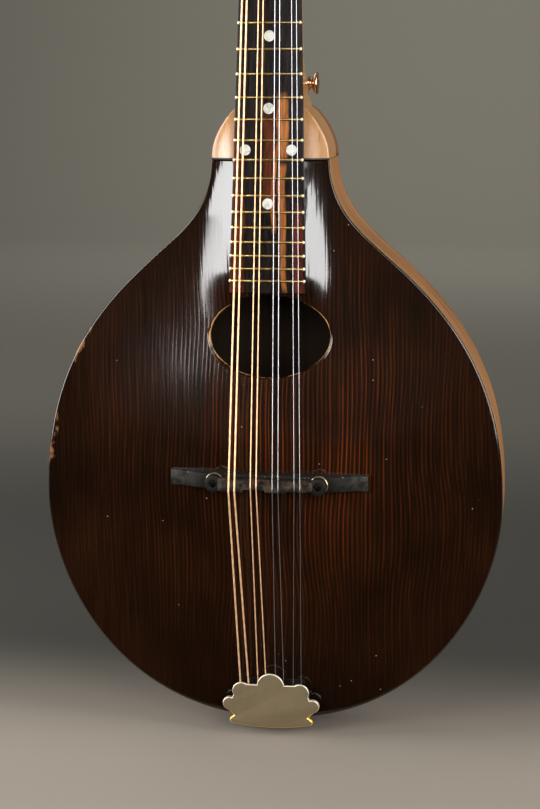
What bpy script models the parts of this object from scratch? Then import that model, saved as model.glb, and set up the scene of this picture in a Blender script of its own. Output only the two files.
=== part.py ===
"""An A-style mandolin with a carved top, an oval sound hole and an adjustable bridge.

It stands upright: the neck runs up +Z, the soundboard faces -Y and the treble side is +X.
The origin lies on the centre line at the nut, on the neck's face that the fingerboard is
glued to. A height is measured forwards (towards -Y) from the front edge of the ribs.
"""

from math import cos, pi, radians, sin, tan

import bmesh
import bpy
import numpy as np
from mathutils import Matrix, Vector

MM = 0.001
GAP = 0.3 * MM
BORE_GAP = 0.45 * MM

# Neck, frets and strings
SCALE_LENGTH = 354.0 * MM
FRET_COUNT = 20
NECK_ANGLE = radians(5.35)
BOARD_NUT_WIDTH = 29.1 * MM
BOARD_END_WIDTH = 42.0 * MM
BOARD_TAIL = 6.5 * MM
BOARD_THICKNESS = 5.0 * MM
FRET_HEIGHT = 1.0 * MM
FRET_WIDTH = 2.2 * MM
FRET_CROWN_WIDTH = 1.1 * MM
SHAFT_DEPTH = 15.5 * MM
SHAFT_TAPER = 0.017
SHAFT_ROUNDNESS = 2.3
VOLUTE_DEPTH = 2.0 * MM
VOLUTE_SPREAD = 9.0 * MM
HEEL_START = 108.0 * MM
HEEL_SWEEP = 2.2
HEEL_SQUARENESS = 12.0
COURSE_COUNT = 4
STRING_GAUGES = [1.0 * MM, 0.66 * MM, 0.38 * MM, 0.28 * MM]
NUT_COURSE_SPACING = 7.85 * MM
NUT_PAIR_SPACING = 2.4 * MM
NUT_THICKNESS = 4.5 * MM
NUT_STRING_RISE = 1.7 * MM
NUT_STRING_COVER = 0.6 * MM
NUT_FALL = 1.2 * MM
BRIDGE_COURSE_SPACING = 12.1 * MM
BRIDGE_PAIR_SPACING = 3.2 * MM
TAIL_COURSE_SPACING = 9.9 * MM
TAIL_PAIR_SPACING = 4.8 * MM

# Headstock and tuning machines
HEAD_ANGLE = radians(13.0)
HEAD_LENGTH = 140.0 * MM
HEAD_ROOT_WIDTH = 29.0 * MM
HEAD_FLARE_WIDTH = 67.0 * MM
HEAD_FLARE_HEIGHT = 27.0 * MM
HEAD_TOP_WIDTH = 58.0 * MM
HEAD_CROWN = 15.0 * MM
HEAD_ROOT_LAP = 5.0 * MM
HEAD_THICKNESS = 14.5 * MM
VENEER_THICKNESS = 1.5 * MM
POST_FIRST = 32.0 * MM
POST_SPACING = 23.0 * MM
POST_OFFSET = 19.0 * MM
POST_RADIUS = 3.0 * MM
POST_REACH = 13.0 * MM
WINDING_RADIUS = 3.9 * MM
WINDING_HEIGHT = 3.4 * MM
WINDING_CENTRE = 6.6 * MM
SPIGOT_RADIUS = 1.9 * MM
PLATE_THICKNESS = 1.0 * MM
PLATE_WIDTH = 15.0 * MM
LUG_THICKNESS = 1.5 * MM
LUG_WIDTH = 6.0 * MM
LUG_WALL = 1.2 * MM
GEAR_TEETH = 14
GEAR_THICKNESS = 2.4 * MM
WORM_LEAD = 2.0 * MM
WORM_PITCH_RADIUS = 2.2 * MM
WORM_TURNS = 3
TOOTH_ADDENDUM = 0.55 * MM
TOOTH_CLEARANCE = 0.2 * MM
TOOTH_FOOT = 0.28
TOOTH_CREST = 0.10
SHAFT_RADIUS = 1.45 * MM
BUTTON_CLEARANCE = 2.0 * MM
BUTTON_LENGTH = 12.0 * MM
BUTTON_WIDTH = 14.0 * MM
BUTTON_THICKNESS = 6.0 * MM

# Body: the outline's half width and its distance below the nut at five places
SHOULDER_HALF_WIDTH = 18.1 * MM
SHOULDER_TOP = 147.7 * MM
NECK_ROOT_HALF_WIDTH = 32.3 * MM
NECK_ROOT = 173.2 * MM
BOUT_HALF_WIDTH = 78.9 * MM
BOUT_START = 241.8 * MM
BOUT_ANGLE = radians(44.1)
BODY_HALF_WIDTH = 129.2 * MM
BODY_WIDEST = 365.7 * MM
BODY_END = 494.7 * MM
BODY_JOIN = 175.5 * MM
RIM_DEPTH = 42.0 * MM
RIB_THICKNESS = 2.2 * MM
LINING_WIDTH = 4.5 * MM
LINING_DEPTH = 6.0 * MM
BLOCK_LENGTH = 32.0 * MM
TAIL_BLOCK_LENGTH = 20.0 * MM
TAIL_BLOCK_WIDTH = 62.0 * MM
TENON_LENGTH = 14.0 * MM
TENON_WIDTH = 16.0 * MM
TENON_DEPTH = 30.0 * MM
PLATE_EDGE = 3.0 * MM
TOP_ARCH = 11.5 * MM
BACK_ARCH = 11.0 * MM
ARCH_CENTRE = 345.0 * MM
BOARD_RISE = 5.5 * MM
BOARD_SEAT = 0.5 * MM
RIDGE_SPREAD = 30.0 * MM
RIDGE_FADE = 70.0 * MM
HOLE_CENTRE = 272.5 * MM
HOLE_WIDTH = 67.5 * MM
HOLE_HEIGHT = 45.4 * MM
BRACE_PLACE = 312.0 * MM
BRACE_LENGTH = 200.0 * MM
BRACE_WIDTH = 8.0 * MM
BRACE_DEPTH = 11.0 * MM
BRACE_END_DEPTH = 2.0 * MM

# Bridge
BRIDGE_PLACE = 352.6 * MM
BRIDGE_SKEW = radians(0.5)
BRIDGE_LENGTH = 111.0 * MM
BRIDGE_WIDTH = 8.8 * MM
BRIDGE_TIP_THICKNESS = 3.2 * MM
BRIDGE_BASE_HEIGHT = 20.0 * MM
BRIDGE_FLAT_LENGTH = 68.0 * MM
BRIDGE_EDGE = 0.8 * MM
BRIDGE_POST_SPACING = 58.2 * MM
BRIDGE_POST_RADIUS = 1.75 * MM
BRIDGE_POST_LENGTH = 11.5 * MM
WHEEL_RADIUS = 5.2 * MM
WHEEL_THICKNESS = 2.0 * MM
WHEEL_LIFT = 1.3 * MM
SADDLE_EAR_RADIUS = 4.9 * MM
SADDLE_EAR_HEIGHT = 4.6 * MM
SADDLE_HEIGHT = 7.4 * MM
SADDLE_FOOT_WIDTH = 7.0 * MM
SADDLE_CREST_WIDTH = 3.0 * MM
CREST_OFFSETS = [3.1 * MM, 0.5 * MM, 1.7 * MM, 0.9 * MM]

# Tailpiece, end pin and strap button; a lobe is its place across and below the cover's
# top, and its radius
HOOK_PLACE = 485.0 * MM
HOOK_WIDTH = 1.8 * MM
HOOK_THICKNESS = 1.2 * MM
HOOK_HEIGHT = 2.7 * MM
SHEET_THICKNESS = 1.2 * MM
BASE_PLATE_TOP = 470.0 * MM
BASE_PLATE_WIDTH = 39.0 * MM
PLATE_CORNER = 3.0 * MM
BASE_LEG_WIDTH = 32.0 * MM
BASE_LEG_DEPTH = 36.0 * MM
COVER_THICKNESS = 0.8 * MM
COVER_TOP = 465.7 * MM
COVER_BOTTOM = 498.9 * MM
COVER_TOP_HEIGHT = 11.4 * MM
COVER_BOTTOM_HEIGHT = 8.2 * MM
COVER_SIDE_FLANGE = 2.4 * MM
COVER_END_FLANGE = 7.0 * MM
COVER_MIDDLE_LOBE = 7.9 * MM
COVER_UPPER_LOBE = (16.8 * MM, 11.1 * MM, 5.3 * MM)
COVER_SIDE_LOBE = (23.8 * MM, 19.1 * MM, 4.0 * MM)
COVER_WAIST = (21.4 * MM, 26.3 * MM)
COVER_FOOT_LOBE = (22.0 * MM, 29.2 * MM, 1.9 * MM)
COVER_FOOT_SAG = 2.2 * MM
SCREW_RADIUS = 1.2 * MM
SCREW_LENGTH = 13.0 * MM
SCREW_HEAD_RADIUS = 2.4 * MM
SCREW_HEAD_HEIGHT = 1.6 * MM
PIN_RADIUS = 3.0 * MM
PIN_LENGTH = 19.0 * MM
PIN_HEAD_RADIUS = 6.0 * MM
PIN_HEAD_LENGTH = 6.3 * MM
PIN_DEPTH = 21.0 * MM
STRAP_ABOVE_SHOULDER = 12.5 * MM
STRAP_DEPTH = 21.0 * MM
STRAP_STEM_RADIUS = 2.9 * MM
STRAP_DISC_RADIUS = 6.2 * MM
STRAP_FOOT_RADIUS = 3.8 * MM
STRAP_LENGTH = 7.4 * MM

# Derived places: the neck and headstock frames, the front edge of the ribs, and the
# fingerboard's length, a little past its last fret
NECK = Matrix.Rotation(-NECK_ANGLE, 4, "X")
HEAD = Matrix.Rotation(-(NECK_ANGLE + HEAD_ANGLE), 4, "X")
RIM_Y = BOARD_RISE - BODY_JOIN * tan(NECK_ANGLE)
BACK_Y = RIM_Y + RIM_DEPTH
BOARD_LENGTH = SCALE_LENGTH * (1 - 2 ** (-FRET_COUNT / 12)) + BOARD_TAIL
BOARD_END = BOARD_LENGTH * cos(NECK_ANGLE)
SCREW_PLACES = [
    (-BASE_LEG_WIDTH / 3, PIN_DEPTH / 2),
    (BASE_LEG_WIDTH / 3, PIN_DEPTH / 2),
    (0.0, PIN_DEPTH + BASE_LEG_WIDTH / 3),
]


def clear_scene():
    for obj in list(bpy.data.objects):
        bpy.data.objects.remove(obj, do_unlink=True)


def new_collection(name):
    collection = bpy.data.collections.new(name)
    bpy.context.scene.collection.children.link(collection)
    return collection


clear_scene()
PARTS = new_collection("mandolin")
CUTTERS = new_collection("mandolin_cutters")


def new_material(name, colour, roughness, metallic=0.0):
    material = bpy.data.materials.new(name)
    material.use_nodes = True
    shader = material.node_tree.nodes["Principled BSDF"]
    shader.inputs["Base Color"].default_value = (*colour, 1.0)
    shader.inputs["Roughness"].default_value = roughness
    shader.inputs["Metallic"].default_value = metallic
    material.diffuse_color = (*colour, 1.0)
    return material


def finish_object(name, mesh, material, matrix=None, smooth=True):
    """A visible sub-part from its mesh, placed by its matrix."""
    obj = bpy.data.objects.new(name, mesh)
    if not mesh.materials:
        mesh.materials.append(material)
    obj.matrix_world = matrix or Matrix()
    if smooth:
        mesh.shade_smooth()
        mesh.set_sharp_from_angle(angle=radians(35))
    PARTS.objects.link(obj)
    return obj


def helper_object(name, mesh, matrix=None):
    """A shape that cuts or joins another and isn't shown."""
    obj = bpy.data.objects.new(name, mesh)
    obj.matrix_world = matrix or Matrix()
    obj.hide_render = True
    obj.display_type = "WIRE"
    CUTTERS.objects.link(obj)
    return obj


def combine(obj, helper, operation):
    modifier = obj.modifiers.new(helper.name, "BOOLEAN")
    modifier.operation = operation
    modifier.solver = "EXACT"
    modifier.object = helper


def frozen(obj):
    """The object's evaluated mesh, with its caps welded on; the object itself goes."""
    bpy.context.view_layer.update()
    graph = bpy.context.evaluated_depsgraph_get()
    mesh = bpy.data.meshes.new_from_object(obj.evaluated_get(graph))
    mesh.transform(obj.matrix_world)
    bpy.data.objects.remove(obj, do_unlink=True)
    bm = bmesh.new()
    bm.from_mesh(mesh)
    bmesh.ops.remove_doubles(bm, verts=bm.verts, dist=0.001 * MM)
    bmesh.ops.recalc_face_normals(bm, faces=bm.faces)
    bm.to_mesh(mesh)
    bm.free()
    return mesh


def mesh_from(bm, name):
    mesh = bpy.data.meshes.new(name)
    bm.to_mesh(mesh)
    bm.free()
    return mesh


def flat_outline(name, outlines, thickness, plane="XZ", place=0.0):
    """A sheet of this thickness cut to a closed outline; later outlines are its holes.

    In plane XZ the sheet starts at y = place and goes back. In plane YZ it is centred
    on x = place, and in plane XY on z = place.
    """
    curve = bpy.data.curves.new(name, "CURVE")
    curve.dimensions = "2D"
    curve.fill_mode = "BOTH"
    curve.extrude = thickness / 2
    for points in outlines:
        spline = curve.splines.new("POLY")
        spline.points.add(len(points) - 1)
        spline.use_cyclic_u = True
        for target, (u, v) in zip(spline.points, points):
            target.co = (u, v, 0.0, 1.0)
    obj = bpy.data.objects.new(name, curve)
    if plane == "XZ":
        turn = Matrix.Rotation(pi / 2, 4, "X")
        obj.matrix_world = Matrix.Translation((0, place + thickness / 2, 0)) @ turn
    elif plane == "YZ":
        turn = Matrix(((0, 0, 1, 0), (1, 0, 0, 0), (0, 1, 0, 0), (0, 0, 0, 1)))
        obj.matrix_world = Matrix.Translation((place, 0, 0)) @ turn
    else:
        obj.matrix_world = Matrix.Translation((0, 0, place))
    CUTTERS.objects.link(obj)
    return frozen(obj)


def turned(name, profile, axis, steps):
    """A shape turned about one axis from (radius, distance along it) points."""
    bm = bmesh.new()
    verts = []
    for radius, along in profile:
        if axis == "Z":
            verts.append(bm.verts.new((radius, 0, along)))
        elif axis == "Y":
            verts.append(bm.verts.new((radius, along, 0)))
        else:
            verts.append(bm.verts.new((along, 0, radius)))
    for first, second in zip(verts, verts[1:]):
        bm.edges.new((first, second))
    obj = bpy.data.objects.new(name, mesh_from(bm, name))
    CUTTERS.objects.link(obj)
    screw = obj.modifiers.new("turn", "SCREW")
    screw.axis = axis
    screw.steps = steps
    screw.render_steps = steps
    screw.use_merge_vertices = True
    screw.merge_threshold = 0.01 * MM
    return frozen(obj)


def cylinder(radius, depth, sides, matrix):
    bm = bmesh.new()
    bmesh.ops.create_cone(
        bm, cap_ends=True, segments=sides, radius1=radius, radius2=radius, depth=depth
    )
    bmesh.ops.transform(bm, matrix=matrix, verts=bm.verts)
    return mesh_from(bm, "cylinder")


def box(low, high):
    bm = bmesh.new()
    bmesh.ops.create_cube(bm, size=1.0)
    low, high = Vector(low), Vector(high)
    size = Matrix.Diagonal((*(high - low), 1.0))
    bmesh.ops.transform(
        bm, matrix=Matrix.Translation((low + high) / 2) @ size, verts=bm.verts
    )
    return mesh_from(bm, "box")


def joined(name, meshes):
    """Several closed meshes in one, for use as one cutter or one addition."""
    bm = bmesh.new()
    for mesh in meshes:
        bm.from_mesh(mesh)
    return mesh_from(bm, name)


def loft(name, rings, closed=True, caps=True):
    """A skin over rings of equally many points; each ring is a list of (x, y, z)."""
    bm = bmesh.new()
    rows = [[bm.verts.new(point) for point in ring] for ring in rings]
    last = 0 if closed else 1
    for lower, upper in zip(rows, rows[1:]):
        for i in range(len(lower) - last):
            j = (i + 1) % len(lower)
            bm.faces.new((lower[i], lower[j], upper[j], upper[i]))
    if caps:
        bm.faces.new(rows[0])
        bm.faces.new(rows[-1])
        bmesh.ops.recalc_face_normals(bm, faces=bm.faces)
    return mesh_from(bm, name)


def mirrored(mesh):
    """The same shape on the other side of the plane x = 0."""
    bm = bmesh.new()
    bm.from_mesh(mesh)
    bmesh.ops.scale(bm, vec=(-1, 1, 1), verts=bm.verts)
    bmesh.ops.reverse_faces(bm, faces=bm.faces)
    return mesh_from(bm, mesh.name + "_mirrored")


def arc(centre, radius, start, end, count):
    """Points on an arc in the plane, its angles in degrees counted from +X."""
    angles = np.radians(np.linspace(start, end, count))
    return [(centre[0] + radius * cos(a), centre[1] + radius * sin(a)) for a in angles]


def cubic(start, handle_a, handle_b, end, count):
    """Points along a cubic curve, without its first one."""
    points = []
    for t in np.linspace(0, 1, count + 1)[1:]:
        s = 1 - t
        weights = (s * s * s, 3 * s * s * t, 3 * s * t * t, t * t * t)
        corners = (start, handle_a, handle_b, end)
        points.append(tuple(sum(w * c[k] for w, c in zip(weights, corners)) for k in (0, 1)))
    return points


# Materials, as the photograph shows them
EBONY = new_material("ebony", (0.012, 0.010, 0.009), 0.42)
SPRUCE = new_material("stained_spruce", (0.045, 0.014, 0.006), 0.22)
MAPLE = new_material("lacquered_maple", (0.20, 0.075, 0.025), 0.30)
HEEL_WOOD = new_material("lacquered_mahogany", (0.085, 0.028, 0.012), 0.28)
BARE_WOOD = new_material("bare_spruce", (0.52, 0.36, 0.20), 0.70)
BONE = new_material("bone", (0.72, 0.66, 0.52), 0.40)
NICKEL = new_material("worn_nickel", (0.42, 0.38, 0.30), 0.35, 1.0)
BRASS = new_material("brass", (0.70, 0.50, 0.22), 0.30, 1.0)
STEEL = new_material("string_steel", (0.60, 0.60, 0.60), 0.30, 1.0)
BRONZE = new_material("wound_bronze", (0.80, 0.55, 0.36), 0.35, 1.0)
IVOROID = new_material("ivoroid", (0.78, 0.70, 0.52), 0.30)


# Body outline and carved surfaces
def half_outline():
    """The treble half of the body's outline, (x, z) from the shoulder's top to the tail."""
    shoulder = (SHOULDER_HALF_WIDTH, -SHOULDER_TOP)
    root = (NECK_ROOT_HALF_WIDTH, -NECK_ROOT)
    bout = (BOUT_HALF_WIDTH, -BOUT_START)
    widest = (BODY_HALF_WIDTH, -BODY_WIDEST)
    tail = (0.0, -BODY_END)
    lean = (cos(BOUT_ANGLE), -sin(BOUT_ANGLE))

    # How far each curve keeps its end's direction, as a share of the run it covers
    shoulder_run = NECK_ROOT - SHOULDER_TOP
    root_run = BOUT_START - NECK_ROOT
    bout_run = BODY_WIDEST - BOUT_START
    tail_run = BODY_END - BODY_WIDEST
    points = [shoulder]
    points += cubic(
        shoulder,
        (shoulder[0] + 0.18 * (root[0] - shoulder[0]), shoulder[1] - 0.02 * shoulder_run),
        (root[0], root[1] + 0.45 * shoulder_run),
        root,
        4,
    )
    points += cubic(
        root,
        (root[0], root[1] - 0.49 * root_run),
        (bout[0] - 0.53 * root_run * lean[0], bout[1] - 0.53 * root_run * lean[1]),
        bout,
        6,
    )
    points += cubic(
        bout,
        (bout[0] + 0.47 * bout_run * lean[0], bout[1] + 0.47 * bout_run * lean[1]),
        (widest[0], widest[1] + 0.33 * bout_run),
        widest,
        8,
    )
    points += cubic(
        widest,
        (widest[0], widest[1] - 0.38 * tail_run),
        (tail[0] + 0.71 * BODY_HALF_WIDTH, tail[1]),
        tail,
        10,
    )
    return points


HALF = half_outline()


def half_width(z):
    return float(np.interp(-z, [-p[1] for p in HALF], [p[0] for p in HALF]))


def half_below(top, inset=0.0):
    """The half outline below z = top, moved inwards by inset."""
    points = [p for p in HALF if p[1] < top - 1.0 * MM]
    points = np.array([(half_width(top), top), *points])
    along = np.gradient(points, axis=0)
    along[-1] = (-1.0, 0.0)
    length = np.hypot(along[:, 0], along[:, 1])
    inward = np.stack([along[:, 1], -along[:, 0]], axis=1) / length[:, None]
    moved = points + inset * inward
    moved[-1, 0] = 0.0
    return [tuple(p) for p in moved]


def whole_outline(top, straight_points=0):
    """The outline below z = top: up the treble side, across the straight end and down."""
    half = half_below(top)
    treble = half[::-1]
    bass = [(-x, z) for x, z in half[:-1]]
    width = half[0][0]
    across = [
        (width * (1 - 2 * (k + 1) / (straight_points + 1)), top)
        for k in range(straight_points)
    ]
    return treble + across + bass


TOP_OUTLINE = whole_outline(-BODY_JOIN - GAP, 7)
BACK_OUTLINE = whole_outline(-SHOULDER_TOP, 3)


def ring_share(x, z, outline):
    """0 at the arch's centre and 1 on the outline."""
    bearings = np.array([np.arctan2(px, pz + ARCH_CENTRE) for px, pz in outline])
    reach = np.array([np.hypot(px, pz + ARCH_CENTRE) for px, pz in outline])
    order = np.argsort(bearings)
    edge = np.interp(
        np.arctan2(x, z + ARCH_CENTRE), bearings[order], reach[order], period=2 * pi
    )
    return min(1.0, float(np.hypot(x, z + ARCH_CENTRE) / edge))


def swell(x, z, outline):
    return (1 + cos(pi * ring_share(x, z, outline))) / 2


def board_height(z):
    """Height of the fingerboard's glued face at this level."""
    return RIM_Y - z * tan(NECK_ANGLE)


def ridge(x, z):
    """The soundboard's extra rise along the middle, which seats the fingerboard."""
    level = max(z, -BOARD_END)
    base = GAP + PLATE_EDGE + TOP_ARCH * swell(0.0, level, TOP_OUTLINE)
    rise = board_height(level) - BOARD_SEAT - base
    fade = min(1.0, max(0.0, (-BOARD_END - z) / RIDGE_FADE))
    beyond = max(0.0, abs(x) - board_half_width(-level / cos(NECK_ANGLE)))
    across = np.exp(-((beyond / RIDGE_SPREAD) ** 2))
    edge = max(0.0, 1 - (x / max(half_width(z), MM)) ** 4)
    return rise * across * edge * (1 + cos(pi * fade)) / 2


def top_height(x, z):
    """Height of the soundboard's outer face."""
    return GAP + PLATE_EDGE + TOP_ARCH * swell(x, z, TOP_OUTLINE) + ridge(x, z)


def back_depth(x, z):
    """How far the back's outer face lies behind the ribs' front edge."""
    return RIM_DEPTH + GAP + PLATE_EDGE + BACK_ARCH * swell(x, z, BACK_OUTLINE)


def carved_plate(name, outline, shares, surface_y, outward, material):
    """A plate of one thickness under a carved surface, from rings bridged to its middle."""
    bm = bmesh.new()
    rows = []
    for share in shares:
        row = []
        for px, pz in outline:
            x, z = share * px, share * (pz + ARCH_CENTRE) - ARCH_CENTRE
            row.append(bm.verts.new((x, surface_y(x, z), z)))
        rows.append(row)
    for outer, inner in zip(rows, rows[1:]):
        for i in range(len(outer)):
            j = (i + 1) % len(outer)
            bm.faces.new((outer[i], outer[j], inner[j], inner[i]))
    middle = bm.verts.new((0, surface_y(0.0, -ARCH_CENTRE), -ARCH_CENTRE))
    for i in range(len(rows[-1])):
        bm.faces.new((rows[-1][i], rows[-1][(i + 1) % len(rows[-1])], middle))
    bmesh.ops.recalc_face_normals(bm, faces=bm.faces)
    bm.normal_update()
    facing = sum(face.normal.y * face.calc_area() for face in bm.faces)
    if facing * outward < 0:
        bmesh.ops.reverse_faces(bm, faces=bm.faces)
    obj = finish_object(name, mesh_from(bm, name), material)
    solidify = obj.modifiers.new("thickness", "SOLIDIFY")
    solidify.thickness = PLATE_EDGE
    solidify.offset = -1.0
    solidify.use_even_offset = True
    return obj


def make_soundboard():
    board = carved_plate(
        "soundboard",
        TOP_OUTLINE,
        (1.0, 0.93, 0.82, 0.68, 0.52, 0.34, 0.16),
        lambda x, z: RIM_Y - top_height(x, z),
        -1,
        SPRUCE,
    )
    place = Matrix.Translation((0, RIM_Y, -HOLE_CENTRE)) @ Matrix.Rotation(pi / 2, 4, "X")
    oval = Matrix.Diagonal((HOLE_WIDTH / HOLE_HEIGHT, 1.0, 1.0, 1.0))
    hole = cylinder(HOLE_HEIGHT / 2, 4 * TOP_ARCH, 36, place @ oval)
    combine(board, helper_object("sound_hole_cutter", hole), "DIFFERENCE")


def make_back():
    carved_plate(
        "back",
        BACK_OUTLINE,
        (1.0, 0.9, 0.72, 0.5, 0.25),
        lambda x, z: RIM_Y + back_depth(x, z),
        1,
        MAPLE,
    )


def tail_bores():
    """The end pin's bore and those of the tailpiece's screws, through the tail."""
    length = 2 * (TAIL_BLOCK_LENGTH + PIN_LENGTH)
    pin_place = Matrix.Translation((0, RIM_Y + PIN_DEPTH, -BODY_END))
    meshes = [cylinder(PIN_RADIUS + BORE_GAP, length, 12, pin_place)]
    for x, depth in SCREW_PLACES:
        place = Matrix.Translation((x, RIM_Y + depth, -BODY_END))
        meshes.append(cylinder(SCREW_RADIUS + BORE_GAP, length, 8, place))
    return helper_object("tail_bores", joined("tail_bores", meshes))


def make_ribs(bores):
    """Two bent ribs that meet at the tail and butt against the neck's heel."""
    for name, side in (("rib_treble", 1), ("rib_bass", -1)):
        edge = half_below(-BODY_JOIN - GAP)
        inner = half_below(-BODY_JOIN - GAP, RIB_THICKNESS)
        rings = []
        for (xo, zo), (xi, zi) in zip(edge, inner):
            xo, xi = max(xo, GAP / 2), max(xi, GAP / 2)
            rings.append(
                [
                    (side * xo, RIM_Y, zo),
                    (side * xo, BACK_Y, zo),
                    (side * xi, BACK_Y, zi),
                    (side * xi, RIM_Y, zi),
                ]
            )
        rib = finish_object(name, loft(name, rings), MAPLE)
        combine(rib, bores, "DIFFERENCE")


def lining_mesh(name, edge_y, inward, grow=0.0):
    """A tapered strip along the inside of both ribs, from the neck block round the tail."""
    start = -BODY_JOIN - BLOCK_LENGTH - 2 * GAP
    outer = half_below(start, RIB_THICKNESS + GAP - grow)
    wide = half_below(start, RIB_THICKNESS + GAP + LINING_WIDTH + grow)
    thin = half_below(start, RIB_THICKNESS + GAP + LINING_WIDTH / 3 + grow)
    near = edge_y + inward * (GAP - 2 * grow)
    far = edge_y + inward * (GAP + LINING_DEPTH + grow)
    rings = []
    for side in (1, -1):
        rows = list(zip(outer, wide, thin))
        if side == -1:
            rows = rows[:-1][::-1]
        for (xo, zo), (xw, zw), (xt, zt) in rows:
            rings.append(
                [
                    (side * xo, near, zo),
                    (side * xw, near, zw),
                    (side * xt, far, zt),
                    (side * xo, far, zo),
                ]
            )
    return loft(name, rings)


def make_linings():
    finish_object("top_lining", lining_mesh("top_lining", RIM_Y, 1), BARE_WOOD)
    finish_object("back_lining", lining_mesh("back_lining", BACK_Y, -1), BARE_WOOD)


def make_neck_block():
    """The block inside the body that takes the heel's dovetail."""
    top = -BODY_JOIN - GAP
    end = top - BLOCK_LENGTH
    side = [p for p in half_below(top, RIB_THICKNESS + GAP) if p[1] > end + MM]
    side.append((half_width(end) - RIB_THICKNESS - 3 * GAP, end))
    outline = side + [(-x, z) for x, z in side[::-1]]
    sheet = flat_outline(
        "neck_block", [outline], RIM_DEPTH - 2 * GAP, place=RIM_Y + GAP
    )
    block = finish_object("neck_block", sheet, BARE_WOOD)
    mortise = tenon_mesh("mortise", GAP)
    combine(block, helper_object("mortise_cutter", mortise), "DIFFERENCE")


def tenon_mesh(name, grow):
    """The heel's dovetail, or its mortise where grow is the clearance."""
    start = -BODY_JOIN + 4 * MM
    end = -BODY_JOIN - TENON_LENGTH - grow
    narrow, wide = TENON_WIDTH / 2 + grow, 0.68 * TENON_WIDTH + grow
    outline = [(narrow, start), (wide, end), (-wide, end), (-narrow, start)]
    front = RIM_Y + 4 * GAP - 6 * grow
    return flat_outline(name, [outline], TENON_DEPTH + 7 * grow, place=front)


def make_tail_block(bores):
    top = -BODY_END + RIB_THICKNESS + TAIL_BLOCK_LENGTH
    half = TAIL_BLOCK_WIDTH / 2
    inner = half_below(-BODY_WIDEST, RIB_THICKNESS + GAP)
    corner_z = float(np.interp(-half, [-x for x, _z in inner], [z for _x, z in inner]))
    side = [(half, top), (half, corner_z), *(p for p in inner if p[0] < half - MM)]
    outline = side + [(-x, z) for x, z in side[:-1][::-1]]
    sheet = flat_outline(
        "tail_block", [outline], RIM_DEPTH - 2 * GAP, place=RIM_Y + GAP
    )
    block = finish_object("tail_block", sheet, BARE_WOOD)
    for name, edge_y, inward in (("top", RIM_Y, 1), ("back", BACK_Y, -1)):
        rebate = lining_mesh(name + "_rebate", edge_y, inward, GAP)
        combine(block, helper_object(name + "_rebate_cutter", rebate), "DIFFERENCE")
    combine(block, bores, "DIFFERENCE")


def make_brace():
    """One bar across the soundboard below the sound hole, thinned at its ends."""
    rings = []
    for x in np.linspace(-BRACE_LENGTH / 2, BRACE_LENGTH / 2, 13):
        fade = 1 - abs(2 * x / BRACE_LENGTH) ** 3
        depth = BRACE_END_DEPTH + (BRACE_DEPTH - BRACE_END_DEPTH) * fade
        half = BRACE_WIDTH / 2
        section = []
        for z in (half, -half):
            level = z - BRACE_PLACE
            slope = (top_height(x + MM, level) - top_height(x - MM, level)) / (2 * MM)
            under = PLATE_EDGE * (1 + slope * slope) ** 0.5 + BORE_GAP
            seat = RIM_Y - top_height(x, level) + under
            section.append([(x, seat, level), (x, seat + depth, z / 2 - BRACE_PLACE)])
        rings.append(section[0] + section[1][::-1])
    finish_object("cross_brace", loft("cross_brace", rings), BARE_WOOD)


# Neck, headstock and fingerboard
def board_half_width(distance):
    """Half the fingerboard's width at this distance below the nut."""
    taper = (BOARD_END_WIDTH - BOARD_NUT_WIDTH) / BOARD_LENGTH
    return (BOARD_NUT_WIDTH + taper * distance) / 2


def heel_share(z):
    """0 along the shaft and 1 where the heel has its full size."""
    return min(1.0, max(0.0, (-z - HEEL_START) / (SHOULDER_TOP - HEEL_START)))


def neck_depth(z):
    """Depth of the neck's wood behind its glued face: volute, shaft and heel."""
    full = BACK_Y - GAP - z * tan(NECK_ANGLE)
    volute = VOLUTE_DEPTH * np.exp(-((z / VOLUTE_SPREAD) ** 2))
    shaft = SHAFT_DEPTH + SHAFT_TAPER * max(0.0, -z) + volute
    return shaft + (full - shaft) * heel_share(z) ** HEEL_SWEEP


def neck_half_width(z):
    if z < -SHOULDER_TOP:
        return half_width(z)
    return board_half_width(-z / cos(NECK_ANGLE))


def neck_squareness(z):
    """The section's power: low for a round shaft, high for a heel with square corners."""
    return SHAFT_ROUNDNESS + (HEEL_SQUARENESS - SHAFT_ROUNDNESS) * heel_share(z) ** 3


def neck_section(z):
    """One level section of the neck: a flat front and a rounded back."""
    half = neck_half_width(z)
    flat = min(half - 0.4 * MM, board_half_width(-z / cos(NECK_ANGLE)) - 0.4 * MM)
    front = z * tan(NECK_ANGLE)
    drop = 0.0
    if z < -SHOULDER_TOP:
        share = min(1.0, (half - SHOULDER_HALF_WIDTH) / (8.0 * MM))
        drop = share * (board_height(z) - GAP - PLATE_EDGE)
    depth = neck_depth(z)
    power = 2 / neck_squareness(z)
    points = [(flat, front, z), (half, front + drop, z)]
    for angle in np.linspace(0, pi, 12)[1:-1]:
        x = half * abs(cos(angle)) ** power * (1 if cos(angle) > 0 else -1)
        points.append((x, front + drop + (depth - drop) * sin(angle) ** power, z))
    points += [(-half, front + drop, z), (-flat, front, z)]
    return points


def head_outline(start):
    """The headstock seen square on, from its root at start to its round top."""
    root, flare, top = HEAD_ROOT_WIDTH / 2, HEAD_FLARE_WIDTH / 2, HEAD_TOP_WIDTH / 2
    side = [(root, start)]
    side += cubic(
        (root, start),
        (root, start + 0.35 * (HEAD_FLARE_HEIGHT - start)),
        (flare, start + 0.62 * (HEAD_FLARE_HEIGHT - start)),
        (flare, HEAD_FLARE_HEIGHT),
        6,
    )
    corner = HEAD_LENGTH - HEAD_CROWN
    side += [(top, corner)]
    side += cubic(
        (top, corner),
        (0.93 * top, corner + 0.67 * HEAD_CROWN),
        (0.34 * top, HEAD_LENGTH),
        (0.0, HEAD_LENGTH),
        6,
    )
    return side + [(-x, z) for x, z in side[:-1][::-1]]


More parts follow.
